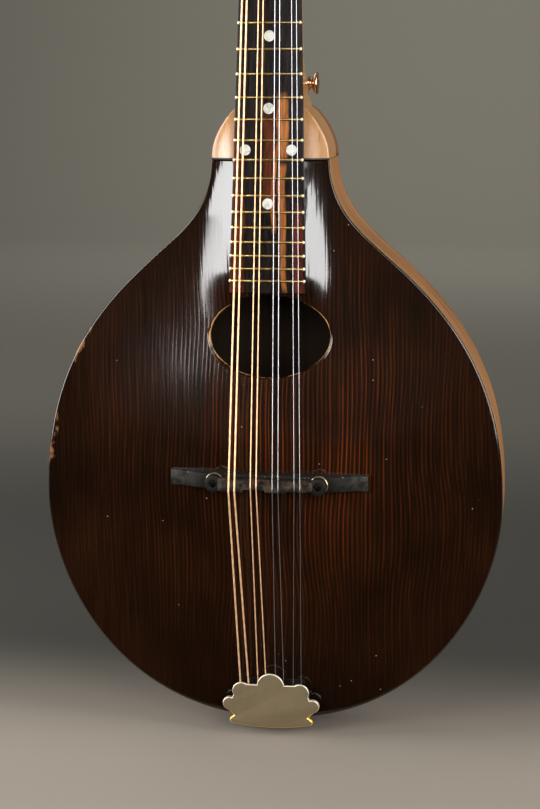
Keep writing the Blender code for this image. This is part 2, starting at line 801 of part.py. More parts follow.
def post_places():
    """(side, number from the nut, x, z) of each post, in the headstock's frame."""
    for side in (-1, 1):
        for k in range(4):
            yield side, k, side * POST_OFFSET, POST_FIRST + k * POST_SPACING


def post_holes():
    """The cutter for the eight post holes through the headstock."""
    turn = Matrix.Rotation(pi / 2, 4, "X")
    meshes = []
    for _side, _k, x, z in post_places():
        place = HEAD @ Matrix.Translation((x, HEAD_THICKNESS / 2, z)) @ turn
        meshes.append(cylinder(POST_RADIUS + BORE_GAP, 3 * HEAD_THICKNESS, 10, place))
    return helper_object("post_holes", joined("post_holes", meshes))


def make_neck(holes):
    """Shaft, heel and headstock in one piece of wood, with a dovetail on the heel."""
    levels = [NUT_THICKNESS + 3 * GAP, 0.0, -0.67 * VOLUTE_SPREAD, -1.6 * VOLUTE_SPREAD]
    levels += [-HEEL_START * share for share in (0.28, 0.55, 0.83)]
    levels += list(np.linspace(-HEEL_START, -SHOULDER_TOP, 9))
    levels += [z for _x, z in HALF if -BODY_JOIN + MM < z < -SHOULDER_TOP - 0.1 * MM]
    levels.append(-BODY_JOIN)
    levels.sort(reverse=True)
    mesh = loft("neck", [neck_section(z) for z in levels])
    neck = finish_object("neck", mesh, HEEL_WOOD)
    core = flat_outline(
        "headstock_core",
        [head_outline(-HEAD_ROOT_LAP)],
        HEAD_THICKNESS,
        place=VENEER_THICKNESS + GAP,
    )
    combine(neck, helper_object("headstock_core", core, HEAD), "UNION")
    combine(neck, helper_object("heel_tenon", tenon_mesh("tenon", 0.0)), "UNION")
    combine(neck, holes, "DIFFERENCE")


def make_veneer(holes):
    start = NUT_THICKNESS + 6 * GAP
    sheet = flat_outline("headstock_veneer", [head_outline(start)], VENEER_THICKNESS)
    veneer = finish_object("headstock_veneer", sheet, EBONY, HEAD)
    combine(veneer, holes, "DIFFERENCE")


def fret_distance(number):
    return SCALE_LENGTH * (1 - 2 ** (-number / 12))


def make_fingerboard():
    """A flat ebony board with its fretwire set across it."""
    near, far = board_half_width(0), board_half_width(BOARD_LENGTH)
    outline = [(near, -GAP), (far, -BOARD_LENGTH), (-far, -BOARD_LENGTH), (-near, -GAP)]
    thickness = BOARD_THICKNESS - GAP
    sheet = flat_outline("fingerboard", [outline], thickness, place=-BOARD_THICKNESS)
    board = finish_object("fingerboard", sheet, EBONY, NECK)
    bars = []
    for number in range(1, FRET_COUNT + 1):
        z = -fret_distance(number)
        half = board_half_width(-z) - GAP / 2
        foot, crown = FRET_WIDTH / 2, FRET_CROWN_WIDTH / 2
        base, top = -BOARD_THICKNESS + GAP, -BOARD_THICKNESS - FRET_HEIGHT
        section = [(base, z - foot), (base, z + foot), (top, z + crown), (top, z - crown)]
        rings = [[(x, y, level) for y, level in section] for x in (-half, half)]
        bars.append(loft("fret", rings))
    frets = helper_object("fretwire", joined("fretwire", bars), NECK)
    combine(board, frets, "UNION")


# Strings: course and side within the pair, from the bass to the treble
def spread(course_spacing, pair_spacing):
    """The eight strings' places across the neck, from the bass side."""
    places = []
    for course in range(COURSE_COUNT):
        middle = (course - (COURSE_COUNT - 1) / 2) * course_spacing
        places += [middle - pair_spacing / 2, middle + pair_spacing / 2]
    return places


NUT_X = spread(NUT_COURSE_SPACING, NUT_PAIR_SPACING)
BRIDGE_X = spread(BRIDGE_COURSE_SPACING, BRIDGE_PAIR_SPACING)
TAIL_X = spread(TAIL_COURSE_SPACING, TAIL_PAIR_SPACING)
BOARD_STRING_Y = -(BOARD_THICKNESS + NUT_STRING_RISE)


def make_nut():
    """A bone block with a slot for each string."""
    half = BOARD_NUT_WIDTH / 2
    top = BOARD_STRING_Y - NUT_STRING_COVER
    fall = top + NUT_FALL
    section = [(-GAP, 0.0), (-GAP, NUT_THICKNESS), (fall, NUT_THICKNESS), (top, 0.0)]
    rings = [[(x, y, z) for y, z in section] for x in (-half, half)]
    nut = finish_object("nut", loft("nut", rings), BONE, NECK)
    slots = []
    for k, x in enumerate(NUT_X):
        radius = STRING_GAUGES[k // 2] / 2
        low = (x - radius - GAP, top - MM, -MM)
        high = (x + radius + GAP, BOARD_STRING_Y + radius + GAP, NUT_THICKNESS + MM)
        slots.append(box(low, high))
    combine(nut, helper_object("nut_slots", joined("nut_slots", slots), NECK), "DIFFERENCE")


def saddle_z(x):
    return -BRIDGE_PLACE - x * tan(BRIDGE_SKEW)


def string_post(k):
    """(side, number from the nut) of the post that string k winds on."""
    if k < 4:
        return -1, k
    return 1, 7 - k


def make_strings():
    """Each string runs from its hook over the saddle and the nut to its post."""
    crest = BRIDGE_BASE_HEIGHT + WHEEL_LIFT + WHEEL_THICKNESS + GAP + SADDLE_HEIGHT
    plate_face = base_plate_height() + SHEET_THICKNESS
    for k in range(2 * COURSE_COUNT):
        course = k // 2
        radius = STRING_GAUGES[course] / 2
        side, number = string_post(k)
        tail_y = RIM_Y - plate_face - GAP - radius
        saddle_y = RIM_Y - crest - GAP - radius
        post_x = side * (POST_OFFSET - WINDING_RADIUS - GAP - radius)
        post_z = POST_FIRST + number * POST_SPACING
        points = [
            Vector((TAIL_X[k], tail_y, -HOOK_PLACE + HOOK_THICKNESS / 2 + GAP)),
            Vector((BRIDGE_X[k], saddle_y, saddle_z(BRIDGE_X[k]) - CREST_OFFSETS[course])),
            NECK @ Vector((NUT_X[k], BOARD_STRING_Y, 0.0)),
            NECK @ Vector((NUT_X[k], BOARD_STRING_Y, NUT_THICKNESS)),
            HEAD @ Vector((post_x, -WINDING_CENTRE, post_z)),
        ]
        curve = bpy.data.curves.new("string", "CURVE")
        curve.dimensions = "3D"
        curve.bevel_depth = radius
        curve.bevel_resolution = 1
        curve.use_fill_caps = True
        spline = curve.splines.new("POLY")
        spline.points.add(len(points) - 1)
        for target, point in zip(spline.points, points):
            target.co = (*point, 1.0)
        name = f"string_{'gdae'[course]}{k % 2 + 1}"
        obj = bpy.data.objects.new(name + "_curve", curve)
        CUTTERS.objects.link(obj)
        mesh = frozen(obj)
        finish_object(name, mesh, BRONZE if course < 2 else STEEL)


# Tuning machines, built once at a treble post and mirrored for the bass side
GEAR_PITCH_RADIUS = GEAR_TEETH * WORM_LEAD / (2 * pi)
CENTRE_DISTANCE = GEAR_PITCH_RADIUS + WORM_PITCH_RADIUS
WORM_OUTER_RADIUS = WORM_PITCH_RADIUS + TOOTH_ADDENDUM
HEAD_BACK = VENEER_THICKNESS + GAP + HEAD_THICKNESS
PLATE_FRONT = HEAD_BACK + GAP
PLATE_BACK = PLATE_FRONT + PLATE_THICKNESS
WORM_Y = PLATE_BACK + WORM_OUTER_RADIUS + GAP
WORM_HALF_LENGTH = WORM_TURNS * WORM_LEAD / 2 + 0.6 * MM
LUG_PLACE = WORM_HALF_LENGTH + GAP + LUG_THICKNESS / 2


def key_mesh():
    """A shaft along +X with a worm thread about x = 0 and an oval button at its end."""
    start = -(LUG_PLACE + LUG_THICKNESS / 2 + 0.8 * MM)
    button_start = HEAD_FLARE_WIDTH / 2 + BUTTON_CLEARANCE - POST_OFFSET
    end = button_start + 0.3 * BUTTON_LENGTH
    profile = [(0.0, end), (SHAFT_RADIUS, end), (SHAFT_RADIUS, start), (0.0, start)]
    shaft = turned("key_shaft", profile, "X", 10)
    foot, crest = TOOTH_FOOT * WORM_LEAD, TOOTH_CREST * WORM_LEAD
    inner, outer = SHAFT_RADIUS - 0.25 * MM, WORM_OUTER_RADIUS
    bm = bmesh.new()
    first = -WORM_TURNS * WORM_LEAD / 2
    corners = [(-foot, inner), (-crest, outer), (crest, outer), (foot, inner)]
    verts = [bm.verts.new((first + along, 0, -radius)) for along, radius in corners]
    for i in range(4):
        bm.edges.new((verts[i], verts[(i + 1) % 4]))
    rib = bpy.data.objects.new("worm_thread", mesh_from(bm, "worm_thread"))
    CUTTERS.objects.link(rib)
    screw = rib.modifiers.new("thread", "SCREW")
    screw.axis = "X"
    screw.angle = 2 * pi * WORM_TURNS
    screw.screw_offset = WORM_LEAD * WORM_TURNS
    screw.steps = 10 * WORM_TURNS
    screw.render_steps = screw.steps
    rib_mesh = frozen(rib)
    bm = bmesh.new()
    bm.from_mesh(rib_mesh)
    ends = [edge for edge in bm.edges if edge.is_boundary]
    bmesh.ops.holes_fill(bm, edges=ends, sides=4)
    bmesh.ops.recalc_face_normals(bm, faces=bm.faces)
    bm.to_mesh(rib_mesh)
    bm.free()
    bm = bmesh.new()
    bmesh.ops.create_uvsphere(bm, u_segments=12, v_segments=6, radius=0.5)
    size = Matrix.Diagonal((BUTTON_LENGTH, BUTTON_THICKNESS, BUTTON_WIDTH, 1.0))
    place = Matrix.Translation((button_start + BUTTON_LENGTH / 2, 0, 0))
    bmesh.ops.transform(bm, matrix=place @ size, verts=bm.verts)
    button = mesh_from(bm, "key_button")
    whole = bpy.data.objects.new("tuner_key", shaft)
    CUTTERS.objects.link(whole)
    combine(whole, helper_object("worm_rib", rib_mesh), "UNION")
    combine(whole, helper_object("button_form", button), "UNION")
    return frozen(whole)


def gear_mesh():
    """A spur gear about the post's axis, with a tooth at +Z between two worm threads."""
    root = GEAR_PITCH_RADIUS - TOOTH_ADDENDUM - TOOTH_CLEARANCE
    tip = GEAR_PITCH_RADIUS + TOOTH_ADDENDUM
    pitch = 2 * pi / GEAR_TEETH
    foot, crest = TOOTH_FOOT * pitch, TOOTH_CREST * pitch
    outline = []
    for k in range(GEAR_TEETH):
        middle = pi / 2 - k * pitch
        for radius, turn in ((root, foot), (tip, crest), (tip, -crest), (root, -foot)):
            outline.append((radius * cos(middle + turn), radius * sin(middle + turn)))
    bore = arc((0, 0), SPIGOT_RADIUS + BORE_GAP, 0, 315, 8)
    return flat_outline("gear", [outline, bore], GEAR_THICKNESS, place=-GEAR_THICKNESS / 2)


def post_mesh():
    """A turned post along Y: its spigot at the back carries the gear."""
    shoulder = WORM_Y - GEAR_THICKNESS / 2 - GAP
    end = WORM_Y + GEAR_THICKNESS / 2 + 0.5 * MM
    ring_near = -WINDING_CENTRE - WINDING_HEIGHT / 2
    ring_far = -WINDING_CENTRE + WINDING_HEIGHT / 2
    profile = [
        (0.0, -POST_REACH),
        (POST_RADIUS - 0.5 * MM, -POST_REACH),
        (POST_RADIUS, -POST_REACH + 0.5 * MM),
        (POST_RADIUS, ring_near),
        (WINDING_RADIUS, ring_near),
        (WINDING_RADIUS, ring_far),
        (POST_RADIUS, ring_far),
        (POST_RADIUS, shoulder),
        (SPIGOT_RADIUS, shoulder),
        (SPIGOT_RADIUS, end),
        (0.0, end),
    ]
    return turned("post", profile, "Y", 10)


def plate_mesh():
    """A strip that carries four machines, with a bored lug on each side of each worm."""
    low = POST_FIRST - 9.0 * MM
    high = POST_FIRST + 3 * POST_SPACING + CENTRE_DISTANCE + 7.0 * MM
    near, far = POST_OFFSET - PLATE_WIDTH / 2, POST_OFFSET + PLATE_WIDTH / 2
    corner = PLATE_CORNER
    outline = arc((far - corner, high - corner), corner, 90, 0, 4)
    outline += arc((far - corner, low + corner), corner, 0, -90, 4)
    outline += arc((near + corner, low + corner), corner, -90, -180, 4)
    outline += arc((near + corner, high - corner), corner, 180, 90, 4)
    bores = []
    for k in range(4):
        centre = (POST_OFFSET, POST_FIRST + k * POST_SPACING)
        bores.append(arc(centre, POST_RADIUS + BORE_GAP, 0, 324, 10))
    sheet = flat_outline("plate", [outline, *bores], PLATE_THICKNESS, place=PLATE_FRONT)
    lugs = []
    for k in range(4):
        middle = POST_FIRST + k * POST_SPACING + CENTRE_DISTANCE
        half = LUG_WIDTH / 2
        foot = PLATE_BACK - PLATE_THICKNESS / 2
        head = WORM_Y + SHAFT_RADIUS + LUG_WALL
        side = [(foot, middle - half), (foot, middle + half)]
        side += [(head - LUG_WALL, middle + half), (head, middle + 0.6 * half)]
        side += [(head, middle - 0.6 * half), (head - LUG_WALL, middle - half)]
        bore = arc((WORM_Y, middle), SHAFT_RADIUS + BORE_GAP, 22.5, 337.5, 8)
        for direction in (-1, 1):
            place = POST_OFFSET + direction * LUG_PLACE
            lugs.append(flat_outline("lug", [side, bore], LUG_THICKNESS, "YZ", place))
    plate = bpy.data.objects.new("plate", sheet)
    CUTTERS.objects.link(plate)
    combine(plate, helper_object("plate_lugs", joined("plate_lugs", lugs)), "UNION")
    return frozen(plate)


def make_tuners():
    key, gear, post, plate = key_mesh(), gear_mesh(), post_mesh(), plate_mesh()
    keys = {1: key, -1: mirrored(key)}
    gears = {1: gear, -1: mirrored(gear)}
    plates = {1: plate, -1: mirrored(plate)}
    for side, label in ((-1, "bass"), (1, "treble")):
        finish_object(f"tuner_plate_{label}", plates[side], NICKEL, HEAD)
    for side, k, x, z in post_places():
        number = k + 1 if side == -1 else k + 5
        axle = HEAD @ Matrix.Translation((x, WORM_Y, z + CENTRE_DISTANCE))
        finish_object(f"tuner_key_{number}", keys[side], IVOROID, axle)
        wheel = HEAD @ Matrix.Translation((x, WORM_Y, z))
        finish_object(f"tuner_gear_{number}", gears[side], BRASS, wheel)
        stem = HEAD @ Matrix.Translation((x, 0, z))
        finish_object(f"tuner_post_{number}", post, NICKEL, stem)


# Bridge: base, two threaded posts with thumbwheels, and the saddle
def bridge_bores():
    turn = Matrix.Rotation(pi / 2, 4, "X")
    radius = BRIDGE_POST_RADIUS + BORE_GAP
    meshes = []
    for x in (-BRIDGE_POST_SPACING / 2, BRIDGE_POST_SPACING / 2):
        place = Matrix.Translation((x, RIM_Y - BRIDGE_BASE_HEIGHT, saddle_z(x)))
        meshes.append(cylinder(radius, 4 * BRIDGE_POST_LENGTH, 10, place @ turn))
    return helper_object("bridge_bores", joined("bridge_bores", meshes))


def make_bridge_base(bores):
    """An ebony foot carved to the soundboard, level between its posts."""
    rings = []
    tip = BRIDGE_LENGTH / 2
    flat = BRIDGE_FLAT_LENGTH / 2
    shoulder = tip - 2 * BRIDGE_EDGE
    inner = flat + (tip - flat) / 3
    places = [-tip, -shoulder, *np.linspace(-inner, inner, 11), shoulder, tip]
    for x in places:
        half = BRIDGE_WIDTH / 2
        z = saddle_z(x)
        under = [top_height(x, z + side * half) + GAP for side in (1, -1)]
        t = min(1.0, max(0.0, (abs(x) - flat) / (tip - flat)))
        tip_top = top_height(tip, z) + GAP + BRIDGE_TIP_THICKNESS
        share = (1 + cos(pi * t)) / 2
        top = tip_top + (BRIDGE_BASE_HEIGHT - tip_top) * share
        if abs(x) == tip:
            top -= BRIDGE_EDGE
            half -= BRIDGE_EDGE
        rings.append(
            [
                (x, RIM_Y - under[0], z + half),
                (x, RIM_Y - top + BRIDGE_EDGE, z + half),
                (x, RIM_Y - top, z + half - BRIDGE_EDGE),
                (x, RIM_Y - top, z - half + BRIDGE_EDGE),
                (x, RIM_Y - top + BRIDGE_EDGE, z - half),
                (x, RIM_Y - under[1], z - half),
            ]
        )
    base = finish_object("bridge_base", loft("bridge_base", rings), EBONY)
    combine(base, bores, "DIFFERENCE")


def make_bridge_posts():
    wheel_near = BRIDGE_BASE_HEIGHT + WHEEL_LIFT
    start = BRIDGE_BASE_HEIGHT - 4.0 * MM
    profile = [
        (0.0, -start - BRIDGE_POST_LENGTH),
        (BRIDGE_POST_RADIUS, -start - BRIDGE_POST_LENGTH),
        (BRIDGE_POST_RADIUS, -start),
        (0.0, -start),
    ]
    post = turned("bridge_post", profile, "Y", 12)
    bore = BRIDGE_POST_RADIUS + BORE_GAP
    rim = 0.15 * WHEEL_THICKNESS
    ring = [
        (bore, -wheel_near - WHEEL_THICKNESS),
        (WHEEL_RADIUS - rim, -wheel_near - WHEEL_THICKNESS),
        (WHEEL_RADIUS, -wheel_near - WHEEL_THICKNESS + rim),
        (WHEEL_RADIUS, -wheel_near - rim),
        (WHEEL_RADIUS - rim, -wheel_near),
        (bore, -wheel_near),
        (bore, -wheel_near - WHEEL_THICKNESS),
    ]
    wheel = turned("bridge_wheel", ring, "Y", 20)
    for label, side in (("bass", -1), ("treble", 1)):
        x = side * BRIDGE_POST_SPACING / 2
        place = Matrix.Translation((x, RIM_Y, saddle_z(x)))
        finish_object(f"bridge_post_{label}", post, BRASS, place)
        finish_object(f"bridge_wheel_{label}", wheel, BRASS, place)


def make_saddle(bores):
    """The part that carries the strings, its crest stepped for each pair."""
    foot = BRIDGE_BASE_HEIGHT + WHEEL_LIFT + WHEEL_THICKNESS + GAP
    crest = foot + SADDLE_HEIGHT
    ear = foot + SADDLE_EAR_HEIGHT
    edge = COURSE_COUNT / 2 * BRIDGE_COURSE_SPACING
    half_step = BRIDGE_PAIR_SPACING / 16
    places = [(-BRIDGE_POST_SPACING / 2, ear, 0), (-edge, crest, 0)]
    for number in range(COURSE_COUNT - 1):
        x = (number + 1) * BRIDGE_COURSE_SPACING - edge
        places += [(x - half_step, crest, number), (x + half_step, crest, number + 1)]
    places += [(edge, crest, COURSE_COUNT - 1), (BRIDGE_POST_SPACING / 2, ear, COURSE_COUNT - 1)]
    rings = []
    half = SADDLE_FOOT_WIDTH / 2
    for x, top, course in places:
        z = saddle_z(x)
        back = min(half, CREST_OFFSETS[course] + SADDLE_CREST_WIDTH / 2)
        front = back - SADDLE_CREST_WIDTH
        rings.append(
            [
                (x, RIM_Y - foot, z + half),
                (x, RIM_Y - ear, z + half),
                (x, RIM_Y - top, z - front),
                (x, RIM_Y - top, z - back),
                (x, RIM_Y - foot, z - half),
            ]
        )
    saddle = finish_object("bridge_saddle", loft("bridge_saddle", rings), EBONY)
    turn = Matrix.Rotation(pi / 2, 4, "X")
    for label, side in (("bass", -1), ("treble", 1)):
        x = side * BRIDGE_POST_SPACING / 2
        middle = RIM_Y - (foot + ear) / 2
        place = Matrix.Translation((x, middle, saddle_z(x))) @ turn
        form = cylinder(SADDLE_EAR_RADIUS, SADDLE_EAR_HEIGHT, 20, place)
        combine(saddle, helper_object(f"saddle_ear_{label}", form), "UNION")
    combine(saddle, bores, "DIFFERENCE")


# Tailpiece
def base_plate_height():
    """Height of the tailpiece plate's underside, just clear of the soundboard."""
    return top_height(0.0, -BASE_PLATE_TOP) + GAP


def make_tailpiece_base(bores):
    """A bent plate over the tail's edge, with a hook for each string."""
    low = base_plate_height()
    high = low + SHEET_THICKNESS
    front = RIM_Y - high
    half = BASE_PLATE_WIDTH / 2
    back_z = -BODY_END - GAP - SHEET_THICKNESS
    corner = PLATE_CORNER
    outline = arc((half - corner, -BASE_PLATE_TOP - corner), corner, 0, 90, 4)
    outline += arc((-half + corner, -BASE_PLATE_TOP - corner), corner, 90, 180, 4)
    outline += [(-half, back_z + corner), (-BASE_LEG_WIDTH / 2, back_z)]
    outline += [(BASE_LEG_WIDTH / 2, back_z), (half, back_z + corner)]
    plate = flat_outline("tailpiece_base", [outline], SHEET_THICKNESS, place=front)
    base = finish_object("tailpiece_base", plate, NICKEL)
    leg = box(
        (-BASE_LEG_WIDTH / 2, front + SHEET_THICKNESS / 2, back_z),
        (BASE_LEG_WIDTH / 2, RIM_Y + BASE_LEG_DEPTH, back_z + SHEET_THICKNESS),
    )
    combine(base, helper_object("tailpiece_leg", leg), "UNION")
    hooks = []
    for x in TAIL_X:
        near = (x - HOOK_WIDTH / 2, front - HOOK_HEIGHT, -HOOK_PLACE - HOOK_THICKNESS / 2)
        rear = (x + HOOK_WIDTH / 2, front + GAP, -HOOK_PLACE + HOOK_THICKNESS / 2)
        hooks.append(box(near, rear))
    combine(base, helper_object("tailpiece_hooks", joined("hooks", hooks)), "UNION")
    combine(base, bores, "DIFFERENCE")


def cover_outline():
    """The cover's scalloped edge, (x, z): a middle lobe, two lobes a side and a foot."""
    half = arc((0.0, -COVER_TOP - COVER_MIDDLE_LOBE), COVER_MIDDLE_LOBE, 90, 8, 7)
    for lobe, start, end, count in (
        (COVER_UPPER_LOBE, 125, -28, 9),
        (COVER_SIDE_LOBE, 112, -75, 9),
        ((*COVER_WAIST, 0.0), 0, 0, 1),
        (COVER_FOOT_LOBE, 62, -72, 5),
    ):
        x, below, radius = lobe
        half += arc((x, -COVER_TOP - below), radius, start, end, count)
    for share in (0.68, 0.34, 0.0):
        half.append((share * COVER_FOOT_LOBE[0], -COVER_BOTTOM + COVER_FOOT_SAG * share**2))
    return half + [(-x, z) for x, z in half[1:-1][::-1]]


def cover_height(z):
    share = (z + COVER_BOTTOM) / (COVER_BOTTOM - COVER_TOP)
    return COVER_BOTTOM_HEIGHT + (COVER_TOP_HEIGHT - COVER_BOTTOM_HEIGHT) * share


def make_tailpiece_cover():
    """A pressed cover whose edge turns down, more at its sides and most over the tail."""
    bm = bmesh.new()
    points = cover_outline()
    rim = [bm.verts.new((x, RIM_Y - cover_height(z), z)) for x, z in points]
    face = bm.faces.new(rim)
    bm.normal_update()
    if face.normal.y > 0:
        face.normal_flip()
    edges = list(face.edges)
    skirt = bmesh.ops.extrude_edge_only(bm, edges=edges)["geom"]
    foot = -COVER_BOTTOM + COVER_FOOT_SAG
    mouth = -COVER_TOP - COVER_UPPER_LOBE[1]
    levels = [foot, foot + COVER_FOOT_SAG, mouth - COVER_UPPER_LOBE[2], mouth]
    depths = [COVER_END_FLANGE, COVER_SIDE_FLANGE, COVER_SIDE_FLANGE, 1.25 * COVER_THICKNESS]
    for vert in [item for item in skirt if isinstance(item, bmesh.types.BMVert)]:
        vert.co.y += float(np.interp(vert.co.z, levels, depths))
    bmesh.ops.recalc_face_normals(bm, faces=bm.faces)
    bm.normal_update()
    if sum(f.normal.y * f.calc_area() for f in bm.faces) > 0:
        bmesh.ops.reverse_faces(bm, faces=bm.faces)
    cover = finish_object("tailpiece_cover", mesh_from(bm, "tailpiece_cover"), NICKEL)
    solidify = cover.modifiers.new("thickness", "SOLIDIFY")
    solidify.thickness = COVER_THICKNESS
    solidify.offset = -1.0
    solidify.use_even_offset = True


def make_tail_fasteners():
    """Three round-head screws and the end pin, all into the tail block."""
    face = -BODY_END - GAP - SHEET_THICKNESS
    seat = face - GAP
    screw_profile = [
        (0.0, seat + SCREW_LENGTH),
        (SCREW_RADIUS, seat + SCREW_LENGTH - 2.5 * SCREW_RADIUS),
        (SCREW_RADIUS, seat),
        (SCREW_HEAD_RADIUS, seat),
        (0.7 * SCREW_HEAD_RADIUS, seat - 0.8 * SCREW_HEAD_HEIGHT),
        (0.0, seat - SCREW_HEAD_HEIGHT),
    ]
    screw = turned("tailpiece_screw", screw_profile, "Z", 8)
    for number, (x, depth) in enumerate(SCREW_PLACES):
        place = Matrix.Translation((x, RIM_Y + depth, 0))
        finish_object(f"tailpiece_screw_{number + 1}", screw, NICKEL, place)
    end = seat - PIN_HEAD_LENGTH
    pin_profile = [
        (0.0, seat + PIN_LENGTH),
        (PIN_RADIUS, seat + PIN_LENGTH),
        (PIN_RADIUS, seat),
        (0.8 * PIN_HEAD_RADIUS, seat),
        (0.55 * PIN_HEAD_RADIUS, seat - 0.4 * PIN_HEAD_LENGTH),
        (PIN_HEAD_RADIUS, end + 0.25 * PIN_HEAD_LENGTH),
        (0.92 * PIN_HEAD_RADIUS, end + 0.05 * PIN_HEAD_LENGTH),
        (0.8 * PIN_HEAD_RADIUS, end),
        (0.0, end),
    ]
    place = Matrix.Translation((0, RIM_Y + PIN_DEPTH, 0))
    finish_object("end_pin", turned("end_pin", pin_profile, "Z", 16), EBONY, place)


def neck_side(z, y):
    """Half the neck's width at this level and depth, from its section's own formula."""
    power = neck_squareness(z)
    share = (y - z * tan(NECK_ANGLE)) / neck_depth(z)
    return neck_half_width(z) * max(0.0, 1 - share**power) ** (1 / power)


def make_strap_button():
    """A flared metal button screwed to the treble side of the heel."""
    z, y = STRAP_ABOVE_SHOULDER - SHOULDER_TOP, RIM_Y + STRAP_DEPTH
    around = arc((z, y), STRAP_FOOT_RADIUS, 0, 315, 8)
    seat = max(neck_side(*place) for place in around) + GAP
    profile = [
        (0.0, seat + STRAP_LENGTH),
        (0.8 * STRAP_DISC_RADIUS, seat + STRAP_LENGTH),
        (STRAP_DISC_RADIUS, seat + STRAP_LENGTH - 0.7 * MM),
        (STRAP_DISC_RADIUS, seat + STRAP_LENGTH - 1.4 * MM),
        (STRAP_STEM_RADIUS, seat + 0.4 * STRAP_LENGTH),
        (STRAP_STEM_RADIUS, seat + 0.15 * STRAP_LENGTH),
        (STRAP_FOOT_RADIUS, seat),
        (0.0, seat),
    ]
    button = turned("strap_button", profile, "X", 18)
    finish_object("strap_button", button, BRASS, Matrix.Translation((0, y, z)))


def main():
    tail = tail_bores()
    holes = post_holes()
    bridge = bridge_bores()
    make_soundboard()
    make_back()
    make_ribs(tail)
    make_linings()
    make_neck_block()
    make_tail_block(tail)
    make_brace()
    make_neck(holes)
    make_veneer(holes)
    make_fingerboard()
    make_nut()
    make_tuners()
    make_bridge_base(bridge)
    make_bridge_posts()
    make_saddle(bridge)
    make_tailpiece_base(tail)
    make_tailpiece_cover()
    make_tail_fasteners()
    make_strap_button()
    make_strings()


main()
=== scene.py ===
from math import cos, exp, hypot, pi, radians, sin, tan

import bmesh
import bpy
import numpy as np
from mathutils import Matrix, Vector
from mathutils.geometry import interpolate_bezier


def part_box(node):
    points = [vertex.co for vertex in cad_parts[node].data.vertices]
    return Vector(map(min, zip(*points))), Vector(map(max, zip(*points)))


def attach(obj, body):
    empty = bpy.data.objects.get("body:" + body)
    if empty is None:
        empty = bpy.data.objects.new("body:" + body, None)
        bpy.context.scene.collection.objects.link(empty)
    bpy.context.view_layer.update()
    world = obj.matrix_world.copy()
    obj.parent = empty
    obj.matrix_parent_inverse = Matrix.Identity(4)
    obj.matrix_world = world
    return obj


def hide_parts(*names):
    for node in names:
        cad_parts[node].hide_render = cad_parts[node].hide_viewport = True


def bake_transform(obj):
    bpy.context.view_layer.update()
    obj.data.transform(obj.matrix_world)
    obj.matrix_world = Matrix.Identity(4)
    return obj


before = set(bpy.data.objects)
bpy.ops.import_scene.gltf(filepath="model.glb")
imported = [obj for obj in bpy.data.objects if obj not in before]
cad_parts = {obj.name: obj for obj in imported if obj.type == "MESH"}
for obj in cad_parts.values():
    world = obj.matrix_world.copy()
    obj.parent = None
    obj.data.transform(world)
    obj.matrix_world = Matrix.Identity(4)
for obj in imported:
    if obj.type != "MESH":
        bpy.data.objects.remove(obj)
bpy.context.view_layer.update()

MM = 0.001

# Ribs: two strips of maple, bent hot round a form and glued to the blocks and the linings,
# with a butt joint at the tail. The grain runs along them, under golden-brown spirit
# varnish that has gone a little dull.
RIM_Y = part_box("rib_treble")[0][1]
BACK_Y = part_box("rib_treble")[1][1]
SHOULDER = -147.7 * MM
RIB_TOP = -175.8 * MM
RIB_THICKNESS = 2.2 * MM
ARCH_CENTRE = 345 * MM
# Knot, two handles and next knot of each curve down the treble side, (x, z) in millimetres
SIDE_CURVES = [
    ((18.1, -147.7), (20.66, -148.21), (32.3, -161.73), (32.3, -173.2), 10),
    ((32.3, -173.2), (32.3, -206.81), (52.79, -216.5), (78.9, -241.8), 26),
    ((78.9, -241.8), (120.72, -282.33), (129.2, -324.81), (129.2, -365.7), 36),
    ((129.2, -365.7), (129.2, -414.72), (91.73, -494.7), (0.0, -494.7), 54),
]


def curve_points(corners, count):
    """That many points (x, z) along one curve, from its knots and handles in millimetres."""
    knots = [Vector((x * MM, 0, z * MM)) for x, z in corners]
    return [(point.x, point.z) for point in interpolate_bezier(*knots, count)]


def body_side(top):
    """Points (x, z) down the treble side of the body, from the level top to the tail."""
    points = []
    for *corners, steps in SIDE_CURVES:
        points += curve_points(corners, steps + 1)[:-1]
    points.append((0.0, SIDE_CURVES[-1][3][1] * MM))
    start = np.interp(-top, [-z for _x, z in points], [x for x, _z in points])
    return [(float(start), top)] + [p for p in points if p[1] < top - 0.8 * MM]


def linear(hex_colour):
    """An sRGB hex colour as the linear colour that a node takes."""
    channels = [int(hex_colour[k:k + 2], 16) / 255 for k in (1, 3, 5)]
    spread = [c / 12.92 if c < 0.04045 else ((c + 0.055) / 1.055) ** 2.4 for c in channels]
    return (*spread, 1.0)


def feed(node, links):
    """Links sockets to what feeds them; a node stands for its first output in use."""
    for socket, source in links.items():
        if isinstance(source, bpy.types.Node):
            source = next(output for output in source.outputs if output.enabled)
        node.id_data.links.new(source, node.inputs[socket])


def add_node(tree, kind, values=None, links=None, **settings):
    """One node with its settings, its sockets' values (colours in hex) and what feeds them."""
    node = tree.nodes.new("ShaderNode" + kind)
    for name, value in settings.items():
        setattr(node, name, value)
    for socket, value in (values or {}).items():
        node.inputs[socket].default_value = linear(value) if isinstance(value, str) else value
    feed(node, links or {})
    return node


def span(start, end, least=0.0, most=1.0):
    """The values of a Map Range node: from start to end, it gives least to most."""
    return {"From Min": start, "From Max": end, "To Min": least, "To Max": most}


def start_material(name, **sockets):
    """A material with its shader's constants set: (material, tree, shader, object place)."""
    material = bpy.data.materials.new(name)
    material.use_nodes = True
    tree = material.node_tree
    shader = tree.nodes["Principled BSDF"]
    for socket, value in sockets.items():
        shader.inputs[socket.replace("_", " ")].default_value = value
    place = add_node(tree, "TexCoord").outputs["Object"]
    return material, tree, shader, place


